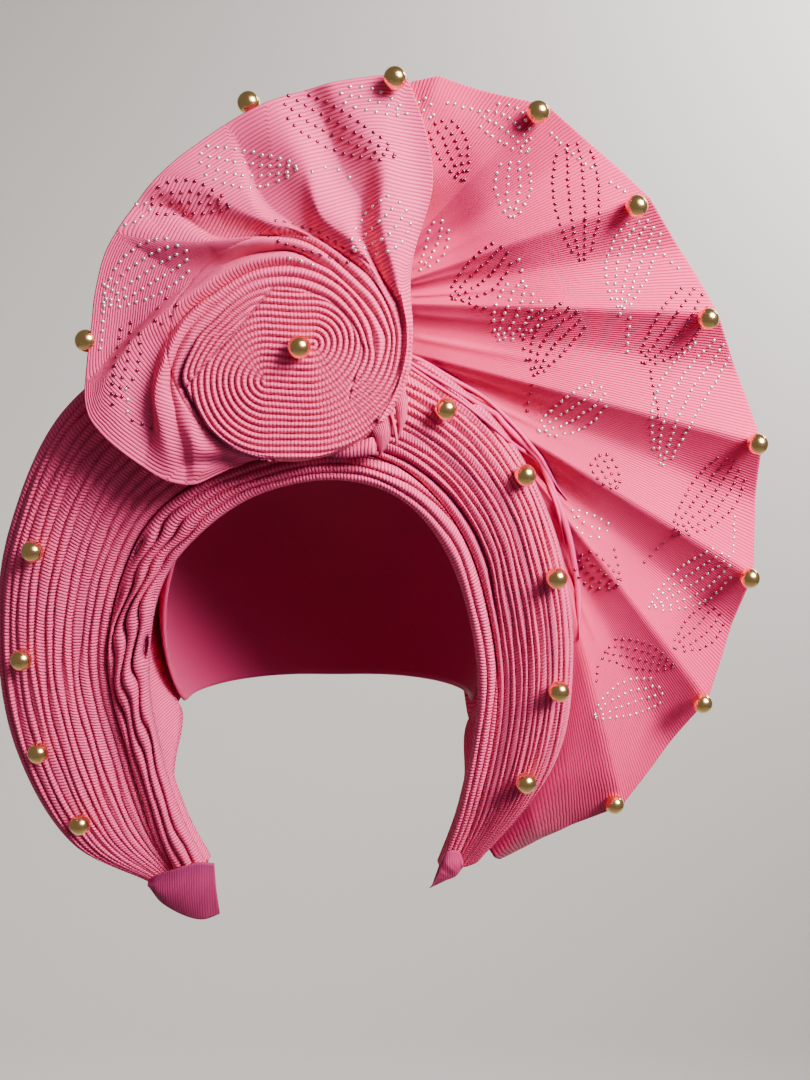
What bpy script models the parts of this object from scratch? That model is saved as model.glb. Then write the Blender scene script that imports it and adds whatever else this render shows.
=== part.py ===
"""A tied gele head tie in its worn form: a cap, folded cloth round the face, a pleated brim,
a coiled rosette with its frill, a pleated fan and gold beads.

Metres, +Z up. The front faces -Y and +X is on the viewer's right. The origin is the crown seat,
the top of the hollow where the head goes in. Left and right are the viewer's.
Sizes and tables below are in millimetres.
"""

import math
from collections import namedtuple

import bmesh
import bpy
import numpy as np
from mathutils import Vector
from mathutils.bvhtree import BVHTree

MM = 0.001
FORWARDS = np.array([0.0, -1.0, 0.0])

# The head hollow is an ellipsoid whose top is the origin.
HEAD_HALF_WIDTH = 78.0
HEAD_HALF_LENGTH = 98.0
HEAD_HALF_HEIGHT = 95.0
HEAD_CENTRE = np.array([0.0, 0.0, -HEAD_HALF_HEIGHT])
HEAD_HALVES = np.array([HEAD_HALF_WIDTH, HEAD_HALF_LENGTH, HEAD_HALF_HEIGHT])

CLOTH_WALL = 1.6
THIN_CLOTH_WALL = 1.3
GAP = 0.4

PLEAT_RISE = 2.4
BRIM_PLEATS = 12
BRIM_BULGE = 7.0
BRIM_FULL_WIDTH = 47.0
BRIM_PLEAT_END = 0.86
# The brim's swell between the valley and the outer roll: where across, and its share.
BRIM_SWELL = ((0, 0), (0.15, 0.25), (0.45, 0.85), (0.7, 1), (0.88, 0.8), (1, 0))
BRIM_TURN_BACK = 75.0
BRIM_REACH_BACK = 72.0
# Beside the jaw, below the cap, the brim and the band turn back by these shares only.
JAW_BRIM_SHARE = 0.3
JAW_HEM_SHARE = 0.45

BAND_FOLDS = 4
BAND_FOLD_RISE = 3.2
BAND_HEM_DEPTH = 26.0
BAND_HEM_BOW = 4.0
BAND_SWELL_SHARE = 0.16
BAND_FULL_WIDTH = 14.0
LOOSE_MIDDLE = 0.27
LOOSE_REACH = 0.12
BUCKLE_SHARE = 0.45
BUCKLES = 17

KNOT_CENTRE_X = -11.0
KNOT_CENTRE_Z = 21.0
KNOT_HALF_WIDTH = 50.5
KNOT_HALF_HEIGHT = 46.5
KNOT_DEPTH = 13.0
KNOT_COILS = 8
KNOT_SIDES = 32
KNOT_PLEAT_RISE = 1.7
KNOT_SEAT = 1.35

TUCK_PLEATS = 5
# The tucks start and end at these turns, in degrees anticlockwise from +X. One row for each
# section outwards: its reach in knot radii, its lift, and how far its crests reach and rise.
TUCK_TURN = (-14, -70)
TuckSection = namedtuple("TuckSection", "reach lift point pleat_rise")
TUCK_SECTIONS = (
    TuckSection(0.86, 0.0, 0.0, 0.0),
    TuckSection(1.01, 0.0, 0.0, 0.0),
    TuckSection(1.09, 3.5, 0.0, 2.8),
    TuckSection(1.17, 5.0, 0.09, 2.8),
)

# The frill's root is under the knot, and it rises off the brim between these knot radii.
FRILL_ROOT = 0.84
FRILL_RISES_BETWEEN = (1.15, 1.42)
FRILL_BOW = 9.0
FRILL_SWELL = 7.0
FRILL_FOLD_HEIGHT = 3.4
FRILL_FOLDS = 6.0
FRILL_SECTIONS = 37

FAN_SETBACK = 11.0
FAN_ROOT_GAP = 1.6
FAN_BOW = 5.0

BEAD_RADIUS = 4.7
BEAD_SIDES = 10
BEAD_RINGS = 5
BEAD_START = 130.0
RIM_BEAD_INSET = 2.5
FIRST_BEADED_CORNER = 2
LAST_BEADED_CORNER = 8

ARCH_STATIONS = 40
CAP_SIDES = 32
CAP_RINGS = 8

# One row for each section round the face opening, from the left jaw over the forehead to the
# right jaw: the rim on the face, the valley outside the face folds, and the brim's outer roll.
ArchSection = namedtuple("ArchSection", "rim valley outer")
ARCH = (
    ArchSection((-57, -20, -219), (-73, -19, -223), (-86, -15, -229)),
    ArchSection((-67, -28, -194), (-83, -26, -197), (-121, -26, -205)),
    ArchSection((-75, -37, -160), (-91, -35, -160), (-142, -36, -158)),
    ArchSection((-78, -46, -122), (-97, -45, -120), (-146, -45, -106)),
    ArchSection((-71, -55, -84), (-88, -55, -78), (-137, -53, -56)),
    ArchSection((-54, -63, -60), (-68, -64, -46), (-110, -59, -4)),
    ArchSection((-27, -69, -41), (-32, -71, -27), (-62, -64, 26)),
    ArchSection((6, -73, -34), (6, -74, -21), (-2, -67, 33)),
    ArchSection((34, -70, -42), (38, -72, -31), (46, -66, 15)),
    ArchSection((54, -60, -66), (62, -61, -60), (82, -61, -17)),
    ArchSection((66, -50, -102), (75, -50, -102), (105, -53, -66)),
    ArchSection((69, -42, -140), (78, -42, -142), (112, -45, -118)),
    ArchSection((62, -31, -188), (70, -31, -190), (104, -37, -168)),
    ArchSection((50, -20, -227), (57, -20, -227), (66, -22, -224)),
)

# The cap's lower edge, one row for each corner: degrees round from the front, and degrees down
# from the crown.
CapCorner = namedtuple("CapCorner", "from_front down")
CAP_EDGE = (
    CapCorner(0, 38),
    CapCorner(30, 42),
    CapCorner(44, 50),
    CapCorner(56, 66),
    CapCorner(66, 92),
    CapCorner(78, 120),
    CapCorner(180, 124),
)

# One row for each crease of the fan that ends in a corner of its rim: the place on the arch
# where it leaves the brim, the corner, and how deep the pleat below it falls at the rim.
FanCrease = namedtuple("FanCrease", "station corner pleat_depth")
FAN = (
    FanCrease(0.545, (2, -80, 122), 4.0),
    FanCrease(0.600, (50, -84, 130), 6.0),
    FanCrease(0.622, (92, -82, 117), 10.0),
    FanCrease(0.632, (134, -74, 80), 10.0),
    FanCrease(0.642, (167, -62, 34), 9.0),
    FanCrease(0.652, (193, -46, -20), 13.0),
    FanCrease(0.705, (195, -28, -82), 12.0),
    FanCrease(0.755, (179, -6, -145), 9.0),
    FanCrease(0.830, (140, 11, -199), 3.0),
    FanCrease(0.890, (113, 15, -217), 1.0),
    FanCrease(0.945, (84, 14, -229), 0.0),
)

# One row for each section of the frill: the corner of its rim, and the turn, in degrees
# anticlockwise from +X, at which its root comes out from under the coiled knot.
FrillSection = namedtuple("FrillSection", "rim root_turn")
FRILL = (
    FrillSection((46, -83, 130), -12),
    FrillSection((28, -85, 132), 14),
    FrillSection((3, -87, 128), 40),
    FrillSection((-26, -88, 119), 64),
    FrillSection((-51, -89, 102), 86),
    FrillSection((-73, -90, 80), 108),
    FrillSection((-87, -91, 52), 132),
    FrillSection((-92, -91, 24), 158),
    FrillSection((-94, -90, -2), 184),
    FrillSection((-82, -88, -24), 206),
    FrillSection((-58, -85, -38), 226),
    FrillSection((-30, -82, -31), 246),
)

# One row for each folded edge laid between the brim and the fan: how far it starts and ends
# outside the brim's roll, and how far behind the roll it lies.
FanFold = namedtuple("FanFold", "name inner outer setback")
FAN_FOLDS = (
    FanFold("fan_fold_inner", 0.7, 6.0, 1.0),
    FanFold("fan_fold_middle", 1.1, 9.5, 3.7),
    FanFold("fan_fold_outer", 1.5, 13.0, 6.4),
)
FAN_FOLD_START = 0.628
FAN_FOLD_END = 0.955
FAN_FOLD_STATIONS = 15
FAN_FOLD_WALL = 2.1
JAW_TAB_BOW = 2.5

# One row for each jaw tab: its upper and lower edge at each section, from its outer end
# towards the neck.
TabSection = namedtuple("TabSection", "upper lower")
JAW_TAB_LEFT = (
    TabSection((-85, -22, -227), (-85, -21, -230)),
    TabSection((-80, -26, -223), (-79, -23, -237)),
    TabSection((-71, -29, -219), (-69, -21, -244)),
    TabSection((-61, -29, -216), (-60, -19, -247)),
    TabSection((-55, -28, -217), (-52, -17, -244)),
)
JAW_TAB_RIGHT = (
    TabSection((66, -28, -221), (66, -27, -225)),
    TabSection((62, -28, -218), (60, -26, -231)),
    TabSection((57, -27.5, -219), (54, -23, -236)),
    TabSection((52, -26.5, -222), (49, -20, -237)),
)

# Each bead's centre across and up, by what carries it.
BeadPlace = namedtuple("BeadPlace", "name across up")
BRIM_BEADS = (
    BeadPlace("bead_brim_left_1", -123.5, -65.0),
    BeadPlace("bead_brim_left_2", -132.0, -114.0),
    BeadPlace("bead_brim_left_3", -128.0, -158.0),
    BeadPlace("bead_brim_left_4", -112.0, -193.5),
    BeadPlace("bead_brim_right_1", 53.5, -4.0),
    BeadPlace("bead_brim_right_2", 87.5, -32.0),
    BeadPlace("bead_brim_right_3", 102.0, -77.0),
    BeadPlace("bead_brim_right_4", 104.5, -128.5),
    BeadPlace("bead_brim_right_5", 91.0, -172.0),
)
KNOT_BEAD = BeadPlace("bead_knot", -6.0, 21.0)
TOP_BEAD = BeadPlace("bead_rim_1", 32.5, 128.0)
BEADS_BEHIND = (
    BeadPlace("bead_rim_2", -27.0, 120.0),
    BeadPlace("bead_rim_3", -94.0, 24.0),
)

PINK = (0.72, 0.12, 0.24)
DEEP_PINK = (0.55, 0.08, 0.17)
GOLD = (0.83, 0.60, 0.22)


def clear_scene():
    for item in list(bpy.data.objects):
        bpy.data.objects.remove(item, do_unlink=True)


def finish(name, colour, roughness, metallic):
    """A Principled material."""
    material = bpy.data.materials.new(name)
    material.use_nodes = True
    shader = material.node_tree.nodes["Principled BSDF"]
    shader.inputs["Base Color"].default_value = (*colour, 1.0)
    shader.inputs["Roughness"].default_value = roughness
    shader.inputs["Metallic"].default_value = metallic
    return material


def unit(vectors):
    """Vectors of length one, along the last axis."""
    return vectors / np.linalg.norm(vectors, axis=-1, keepdims=True)


def through(rows, at):
    """A smooth curve through rows, a Catmull-Rom spline, read at fractions of its row count."""
    rows = np.asarray(rows, float)
    place = np.clip(np.asarray(at, float), 0.0, 1.0) * (len(rows) - 1)
    cell = np.minimum(place.astype(int), len(rows) - 2)
    t = (place - cell)[:, None]
    before = np.vstack([2 * rows[0] - rows[1], rows, 2 * rows[-1] - rows[-2]])
    a, b, c, d = (before[cell + k] for k in range(4))
    return 0.5 * (2 * b + (c - a) * t + (2 * a - 5 * b + 4 * c - d) * t**2
                  + (3 * b - a - 3 * c + d) * t**3)


def smooth_step(low, high, value):
    """0 below low, 1 above high, with a smooth rise between."""
    t = np.clip((value - low) / (high - low), 0.0, 1.0)
    return t * t * (3 - 2 * t)


def grid_normals(grid, column, ahead):
    """The unit normal at each point of a grid, turned so that a column's normals go ahead."""
    normals = unit(np.cross(np.gradient(grid, axis=0), np.gradient(grid, axis=1)))
    return normals * np.sign(np.sum(normals[:, column] * ahead))


def zip_edges(first, first_at, second, second_at):
    """Triangles between two edges whose points have their own places from 0 to 1."""
    faces = []
    i = j = 0
    while i < len(first) - 1 or j < len(second) - 1:
        step_first = j == len(second) - 1 or (
            i < len(first) - 1 and first_at[i + 1] <= second_at[j + 1]
        )
        if step_first:
            faces.append((first[i], first[i + 1], second[j]))
            i += 1
        else:
            faces.append((first[i], second[j + 1], second[j]))
            j += 1
    return faces


def grid_faces(ids, closed):
    """The quads of a grid of vertex numbers, joined round when closed."""
    rows = np.vstack([ids, ids[:1]]) if closed else ids
    corners = (rows[:-1, :-1], rows[1:, :-1], rows[1:, 1:], rows[:-1, 1:])
    return [tuple(int(c) for c in face) for face in np.stack(corners, axis=-1).reshape(-1, 4)]


def pole_faces(ring, pole):
    """The triangles from a ring of vertex numbers to a pole."""
    return [(int(a), int(b), pole) for a, b in zip(ring, np.roll(ring, -1))]


def add_body(name, points, faces, material):
    """One closed body, its faces turned outwards."""
    mesh = bpy.data.meshes.new(name)
    mesh.from_pydata([tuple(float(v) * MM for v in p) for p in points], [], faces)
    body = bmesh.new()
    body.from_mesh(mesh)
    bmesh.ops.recalc_face_normals(body, faces=body.faces)
    body.to_mesh(mesh)
    body.free()
    mesh.materials.append(material)
    item = bpy.data.objects.new(name, mesh)
    bpy.context.scene.collection.objects.link(item)
    return item


def walled(name, front, back, material, front_at=None, back_at=None):
    """A sheet with a wall: a front grid and a back grid with the same rows, joined at the edges."""
    rows, front_columns = front.shape[:2]
    back_columns = back.shape[1]
    front_at = np.linspace(0, 1, front_columns) if front_at is None else front_at
    back_at = np.linspace(0, 1, back_columns) if back_at is None else back_at
    front_ids = np.arange(rows * front_columns).reshape(rows, front_columns)
    back_ids = np.arange(rows * back_columns).reshape(rows, back_columns) + front_ids.size
    row_at = np.linspace(0, 1, rows)
    faces = grid_faces(front_ids, False) + grid_faces(back_ids, False)
    for end in (0, -1):
        faces += zip_edges(front_ids[end], front_at, back_ids[end], back_at)
        faces += zip_edges(front_ids[:, end], row_at, back_ids[:, end], row_at)
    points = np.vstack([front.reshape(-1, 3), back.reshape(-1, 3)])
    return add_body(name, points, [tuple(int(v) for v in f) for f in faces], material)


def turned(name, front, back, material, front_pole, back_pole):
    """A wall or disc round a pole: the rows of each grid go round, the columns out from it."""
    rows, front_columns = front.shape[:2]
    front_ids = np.arange(front.shape[0] * front_columns).reshape(rows, front_columns)
    back_ids = np.arange(rows * back.shape[1]).reshape(rows, back.shape[1]) + front_ids.size
    pole_ids = (front_ids.size + back_ids.size, front_ids.size + back_ids.size + 1)
    faces = grid_faces(front_ids, True) + grid_faces(back_ids, True)
    faces += grid_faces(np.stack([front_ids[:, -1], back_ids[:, -1]], axis=1), True)
    faces += pole_faces(front_ids[:, 0], pole_ids[0]) + pole_faces(back_ids[:, 0], pole_ids[1])
    points = np.vstack([front.reshape(-1, 3), back.reshape(-1, 3), front_pole, back_pole])
    return add_body(name, points, faces, material)


def on_cap(points, clearance):
    """Points moved in or out, on rays from the head's middle, to lie just outside the cap."""
    outer = HEAD_HALVES + CLOTH_WALL
    ray = points - HEAD_CENTRE
    seat = ray / np.linalg.norm(ray / outer, axis=-1, keepdims=True)
    return HEAD_CENTRE + seat + unit(seat / outer**2) * clearance


def arch(at):
    """The rim, valley and outer curves at fractions round the face opening."""
    return tuple(through([getattr(row, name) for row in ARCH], at) for name in ArchSection._fields)


def arch_frame(start, end):
    """Unit directions across the sheet from start to end, and out of its front."""
    across = unit(end - start)
    front = unit(np.cross(np.gradient(end, axis=0) + np.gradient(start, axis=0), across))
    return across, front


def head_cap(material):
    """The cap: a wall round the skull, cut high over the face and low behind the ears."""
    turn = np.linspace(0, 2 * math.pi, CAP_SIDES, endpoint=False)
    from_front = np.degrees(np.abs((turn + math.pi) % (2 * math.pi) - math.pi))
    edge = np.array(CAP_EDGE, float)
    lowest = np.radians(np.interp(from_front, edge[:, 0], edge[:, 1]))
    down = lowest[:, None] * np.linspace(0.12, 1.0, CAP_RINGS)[None, :]
    direction = np.stack([np.sin(turn)[:, None] * np.sin(down),
                          -np.cos(turn)[:, None] * np.sin(down), np.cos(down)], axis=-1)
    inner = HEAD_CENTRE + direction * HEAD_HALVES
    outer = HEAD_CENTRE + direction * (HEAD_HALVES + CLOTH_WALL)
    crown = HEAD_CENTRE + np.array([0.0, 0.0, HEAD_HALF_HEIGHT])
    return turned("head_cap", outer, inner, material, crown + (0, 0, CLOTH_WALL), crown)


def reach_in(points, fallback):
    """Points seated on the cap, and fallback below the cap's edge, where no cap is."""
    low = smooth_step(-150.0, -178.0, points[:, 2])[:, None]
    return on_cap(points, GAP + CLOTH_WALL) * (1 - low) + fallback * low


def face_band(material):
    """The folded cloth round the face: a hem from the cap to the rim, then rolled folds."""
    at = np.linspace(0, 1, ARCH_STATIONS)
    rim, valley, outer = arch(at)
    across, front = arch_frame(rim, valley)
    width = np.linalg.norm(valley - rim, axis=-1)
    behind = -FORWARDS * BAND_HEM_DEPTH
    hem = reach_in(rim + behind, rim + behind * JAW_HEM_SHARE)
    # The folds are loose on the left temple, where they buckle, and tight over the forehead.
    loose = np.exp(-((at - LOOSE_MIDDLE) / LOOSE_REACH) ** 2)
    buckle = 1 + BUCKLE_SHARE * loose * np.sin(at * 2 * math.pi * BUCKLES)

    def base(place):
        hem_part = hem[:, None] + (rim - hem)[:, None] * (place + 1)[None, :, None]
        hem_bow = BAND_HEM_BOW * np.sin(math.pi * np.clip(place + 1, 0, 1))[None, :, None]
        hem_part = hem_part + unit(hem_part - HEAD_CENTRE) * hem_bow
        q = np.clip(place, 0, 1)[None, :, None]
        swell = BAND_SWELL_SHARE * width[:, None, None] * np.sin(math.pi * q) * front[:, None]
        end = valley - across * GAP / 2
        fold_part = rim[:, None] + (end - rim)[:, None] * q + swell
        return np.where(place[None, :, None] < 0, hem_part, fold_part)

    folds = np.arange(2 * BAND_FOLDS + 1) / (2 * BAND_FOLDS)
    place = np.concatenate([[-1.0, -0.6, -0.25], folds])
    rise = np.concatenate([[0.0, 0.0, 0.0], BAND_FOLD_RISE * (np.arange(folds.size) % 2)])
    coarse = np.array([-1.0, -0.6, -0.25, 0.0, 0.33, 0.66, 1.0])
    narrow = np.clip(width / BAND_FULL_WIDTH, 0.5, 1.0)
    height = rise[None, :, None] * (buckle * narrow)[:, None, None]
    sheet = base(place)
    under = base(coarse)
    front_skin = sheet + front[:, None] * height
    back_skin = under - grid_normals(under, -2, front) * CLOTH_WALL
    return walled("face_band", front_skin, back_skin, material, (place + 1) / 2, (coarse + 1) / 2)


def brim_base(at, place):
    """The brim without its pleats. From 0 to 1 it crosses from the valley to the outer roll,
    swelling forwards, and from 1 to 2 it turns back and comes in to the cap."""
    rim, valley, outer = arch(at)
    across, front = arch_frame(valley, outer)
    width = np.linalg.norm(outer - valley, axis=-1)
    start = valley + across * GAP / 2
    q = np.clip(place, 0, 1)[None, :, None]
    swell = np.array(BRIM_SWELL, float)
    size = np.clip(width / BRIM_FULL_WIDTH, 0.25, 1)[:, None]
    lift = BRIM_BULGE * size[:, None] * np.interp(q, swell[:, 0], swell[:, 1])
    face = start[:, None] + (outer - start)[:, None] * q + lift * front[:, None]
    inwards = -FORWARDS * BRIM_REACH_BACK
    seat = reach_in(valley + inwards, valley + inwards * JAW_BRIM_SHARE)
    t = np.clip(place - 1, 0, 1)[None, :, None]
    turn = -front * BRIM_TURN_BACK * size
    arrive = seat - outer
    back = (outer[:, None] * (2 * t**3 - 3 * t**2 + 1) + turn[:, None] * (t**3 - 2 * t**2 + t)
            + seat[:, None] * (3 * t**2 - 2 * t**3) + arrive[:, None] * (t**3 - t**2))
    return np.where(place[None, :, None] <= 1, face, back), front, size[:, 0]


def pleated_brim(material):
    """The brim: rows of narrow pleats from jaw to jaw, an outer roll, and a plain back."""
    at = np.linspace(0, 1, ARCH_STATIONS)
    pleats = np.linspace(0.0, BRIM_PLEAT_END, 2 * BRIM_PLEATS + 1)
    place = np.concatenate([pleats, [0.95, 1.0, 1.12, 1.28, 1.46, 1.64, 1.82, 2.0]])
    coarse = np.array([0.0, 0.15, 0.45, 0.7, 0.88, 1.0, 1.12, 1.28, 1.46, 1.64, 1.82, 2.0])
    sheet, front, size = brim_base(at, place)
    under = brim_base(at, coarse)[0]
    rise = np.zeros(place.size)
    rise[: pleats.size] = PLEAT_RISE * (np.arange(pleats.size) % 2)
    front_skin = sheet + front[:, None] * rise[None, :, None] * size[:, None, None]
    back_skin = under - grid_normals(under, 1, front) * CLOTH_WALL
    return walled("pleated_brim", front_skin, back_skin, material, place / 2, coarse / 2)


def knot_outline(turn, scale):
    """Points across and up on the knot's oval, scaled about its middle."""
    return (KNOT_CENTRE_X + KNOT_HALF_WIDTH * scale * np.cos(turn),
            KNOT_CENTRE_Z + KNOT_HALF_HEIGHT * scale * np.sin(turn))


def rosette_knot(material, back_y):
    """The knot: a coil of narrow pleats wound flat, domed in front and plain behind."""
    turn = np.linspace(0, 2 * math.pi, KNOT_SIDES, endpoint=False)[:, None]
    rings = np.linspace(0.06, 0.98, 2 * KNOT_COILS + 1)
    rise = KNOT_PLEAT_RISE * (np.arange(rings.size) % 2)
    dome = KNOT_DEPTH * np.sqrt(1 - (0.86 * rings) ** 4)
    x, z = knot_outline(turn, rings[None, :])
    y = back_y - np.broadcast_to(dome + rise - KNOT_PLEAT_RISE, x.shape)
    edge_x, edge_z = knot_outline(turn, 1.0)
    edge = np.stack([edge_x, np.full_like(edge_x, back_y - 3.0), edge_z], axis=-1)
    front = np.concatenate([np.stack([x, y, z], axis=-1), edge], axis=1)
    rings_behind = np.array([0.25, 0.6, 0.96])
    x, z = knot_outline(turn, rings_behind[None, :])
    back = np.stack([x, np.full_like(x, back_y), z], axis=-1)
    middle = np.array([KNOT_CENTRE_X, back_y, KNOT_CENTRE_Z])
    return turned("rosette_knot", front, back, material, middle - (0, KNOT_DEPTH, 0), middle)


def rosette_frill(material, root_y):
    """The frill: a ruffled sheet that sweeps out from under the knot, clockwise and up."""
    at = np.linspace(0, 1, FRILL_SECTIONS)
    rim = through([row.rim for row in FRILL], at)
    turn = np.radians(through([(row.root_turn,) for row in FRILL], at))
    root_x, root_z = knot_outline(turn, FRILL_ROOT)
    root = np.concatenate([root_x, np.full_like(root_x, root_y), root_z], axis=1)
    r = np.array([0.0, 0.12, 0.28, 0.46, 0.64, 0.82, 1.0])[None, :, None]
    straight = root[:, None] + (rim - root)[:, None] * r
    # Between root and rim the sheet bows away from the knot's middle, as its folds do.
    middle = np.array([KNOT_CENTRE_X, 0.0, KNOT_CENTRE_Z])
    flat = straight * np.array([1.0, 0.0, 1.0]) - middle * np.array([1.0, 0.0, 1.0])
    bow = FRILL_BOW * np.sin(math.pi * r)
    sheet = straight + unit(flat + np.array([0.0, 1e-9, 0.0])) * bow
    scale = np.hypot((sheet[..., 0] - KNOT_CENTRE_X) / KNOT_HALF_WIDTH,
                     (sheet[..., 2] - KNOT_CENTRE_Z) / KNOT_HALF_HEIGHT)
    clear = smooth_step(*FRILL_RISES_BETWEEN, scale)
    fold = np.cos(2 * math.pi * FRILL_FOLDS * at)[:, None] * (1 - 0.55 * r[..., 0])
    sheet[..., 1] = root_y + clear * (rim[:, None, 1] - root_y) * np.minimum(1, 1.6 * r[..., 0])
    swell = FRILL_SWELL * np.sin(math.pi * r[..., 0])
    sheet[..., 1] -= clear * (swell + FRILL_FOLD_HEIGHT * fold)
    back = sheet - grid_normals(sheet, 3, FORWARDS) * THIN_CLOTH_WALL
    return walled("rosette_frill", sheet, back, material)


def pinched_tucks(material, root_y):
    """The pinched ends of the pleats under the knot: a short sheet of standing pleats."""
    turn = np.radians(np.linspace(*TUCK_TURN, 2 * TUCK_PLEATS + 1))
    crest = (np.arange(turn.size) % 2).astype(float)
    rows = []
    for section in TUCK_SECTIONS:
        x, z = knot_outline(turn, section.reach + section.point * crest)
        y = root_y - section.lift - section.pleat_rise * crest
        rows.append(np.stack([x, y, z], axis=-1))
    sheet = np.stack(rows, axis=1)
    back = sheet - grid_normals(sheet, 0, FORWARDS) * THIN_CLOTH_WALL
    return walled("pinched_tucks", sheet, back, material)


def fan_root(at, reach, setback):
    """A curve outside the brim's outer roll, reach millimetres out and setback behind it."""
    rim, valley, outer = arch(at)
    across, front = arch_frame(valley, outer)
    level = unit(across * np.array([1.0, 0.0, 1.0]))
    return outer + level * np.reshape(reach, (-1, 1)) - FORWARDS * setback


def pleated_fan(material):
    """The fan: accordion pleats from the hub behind the knot to a rim with straight sides
    between its corners. Below each crease the cloth falls away, then rises to the next."""
    stations = np.array([row.station for row in FAN])
    corners = np.array([row.corner for row in FAN], float)
    depths = np.array([row.pleat_depth for row in FAN], float)
    # Each pleat is read at its crease, in its valley and on its long slope.
    steps = ((0.0, 0.0), (0.3, 1.0), (0.65, 0.45))
    between = [i + step for i in range(len(FAN) - 1) for step, share in steps] + [len(FAN) - 1]
    fall = [depths[i] * share for i in range(len(FAN) - 1) for step, share in steps] + [0.0]
    between, fall = np.array(between), np.array(fall)
    number = np.arange(len(FAN))
    at = np.interp(between, number, stations)
    rim = np.stack([np.interp(between, number, corners[:, k]) for k in range(3)], axis=-1)
    fine = np.linspace(stations[0], stations[-1], 400)
    path = fan_root(fine, np.full(fine.size, FAN_ROOT_GAP), FAN_SETBACK)
    root = np.stack([np.interp(at, fine, path[:, k]) for k in range(3)], axis=-1)
    r = np.linspace(0, 1, 7)[None, :, None]
    sheet = root[:, None] + (rim - root)[:, None] * r
    # The sheet leaves the folds flat before it leans to the depth of its rim.
    sheet[..., 1] = root[:, None, 1] + (rim - root)[:, None, 1] * r[..., 0] ** 1.6
    sheet[..., 1] -= FAN_BOW * smooth_step(0.15, 0.5, r[..., 0]) * np.sin(math.pi * r[..., 0])
    normals = grid_normals(sheet, 3, FORWARDS)
    sheet = sheet - normals * (fall[:, None, None] * r**1.2)
    back = sheet - normals * THIN_CLOTH_WALL
    return walled("pleated_fan", sheet, back, material)


def fan_fold(name, inner, outer, setback, material):
    """A folded edge of cloth laid flat along the fan's inner side."""
    at = np.linspace(FAN_FOLD_START, FAN_FOLD_END, FAN_FOLD_STATIONS)
    spread = smooth_step(0.0, 0.3, np.linspace(0, 1, at.size))
    reaches = [inner + (outer - inner) * share * (0.3 + 0.7 * spread) for share in (0, 0.5, 1)]
    front = np.stack([fan_root(at, reach, setback) for reach in reaches], axis=1)
    back = front - FORWARDS * FAN_FOLD_WALL
    return walled(name, front, back, material)


def jaw_tab(name, rows, material):
    """A hem end turned over the gathered pleats beside the jaw, drawn back towards the neck."""
    at = np.linspace(0, 1, 7)
    upper = through([row.upper for row in rows], at)
    lower = through([row.lower for row in rows], at)
    share = np.array([0.0, 0.35, 0.7, 1.0])[None, :, None]
    sheet = upper[:, None] + (lower - upper)[:, None] * share
    sheet[..., 1] -= JAW_TAB_BOW * np.sin(math.pi * share[..., 0])
    back = sheet - FORWARDS * CLOTH_WALL
    return walled(name, sheet, back, material)


def surface_of(item):
    """A tree of the item's faces in millimetres, for finding what lies nearest."""
    points = [Vector(v.co) / MM for v in item.data.vertices]
    return BVHTree.FromPolygons(points, [tuple(p.vertices) for p in item.data.polygons])


def seat_bead(x, z, carriers, behind=False):
    """How far back a bead's centre lies when it rests on its carriers from the front, or from
    behind: the last place on its way in where it still clears them all by the gap."""
    sign = -1.0 if behind else 1.0
    place = -BEAD_START * sign
    reach = math.inf
    while reach > BEAD_RADIUS + GAP:
        reach = min(tree.find_nearest(Vector((x, place, z)))[3] for tree in carriers)
        place += max(0.02, 0.5 * (reach - BEAD_RADIUS - GAP)) * sign
    return place


def bead(name, centre, material):
    """A round gold bead with its poles towards the front and the back."""
    turn = np.linspace(0, 2 * math.pi, BEAD_SIDES, endpoint=False)[:, None]
    down = np.linspace(0, math.pi, BEAD_RINGS + 1)[None, 1:-1]
    ring = np.stack([np.cos(turn) * np.sin(down), -np.cos(down) + 0 * turn,
                     np.sin(turn) * np.sin(down)], axis=-1)
    ids = np.arange(ring.shape[0] * ring.shape[1]).reshape(ring.shape[:2])
    faces = grid_faces(ids, True) + pole_faces(ids[:, 0], ids.size)
    faces += pole_faces(ids[:, -1], ids.size + 1)
    points = np.vstack([ring.reshape(-1, 3), (0, -1, 0), (0, 1, 0)])
    return add_body(name, points * BEAD_RADIUS + np.array(centre), faces, material)


def add_beads(carriers, material):
    """All the beads, each seated on the cloth that carries it."""
    groups = [(row, ("brim", "folds"), False) for row in BRIM_BEADS]
    groups += [(KNOT_BEAD, ("knot",), False), (TOP_BEAD, ("frill",), False)]
    groups += [(row, ("frill", "fan"), True) for row in BEADS_BEHIND]
    hub = np.array([KNOT_CENTRE_X, 0.0, KNOT_CENTRE_Z])
    for number, row in enumerate(FAN[FIRST_BEADED_CORNER:LAST_BEADED_CORNER + 1], start=4):
        inwards = unit((hub - row.corner) * np.array([1.0, 0.0, 1.0]))
        x, y, z = np.array(row.corner) + inwards * RIM_BEAD_INSET
        groups.append((BeadPlace(f"bead_rim_{number}", x, z), ("fan",), False))
    for place, names, behind in groups:
        y = seat_bead(place.across, place.up, [carriers[key] for key in names], behind)
        bead(place.name, (place.across, y, place.up), material)


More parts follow.
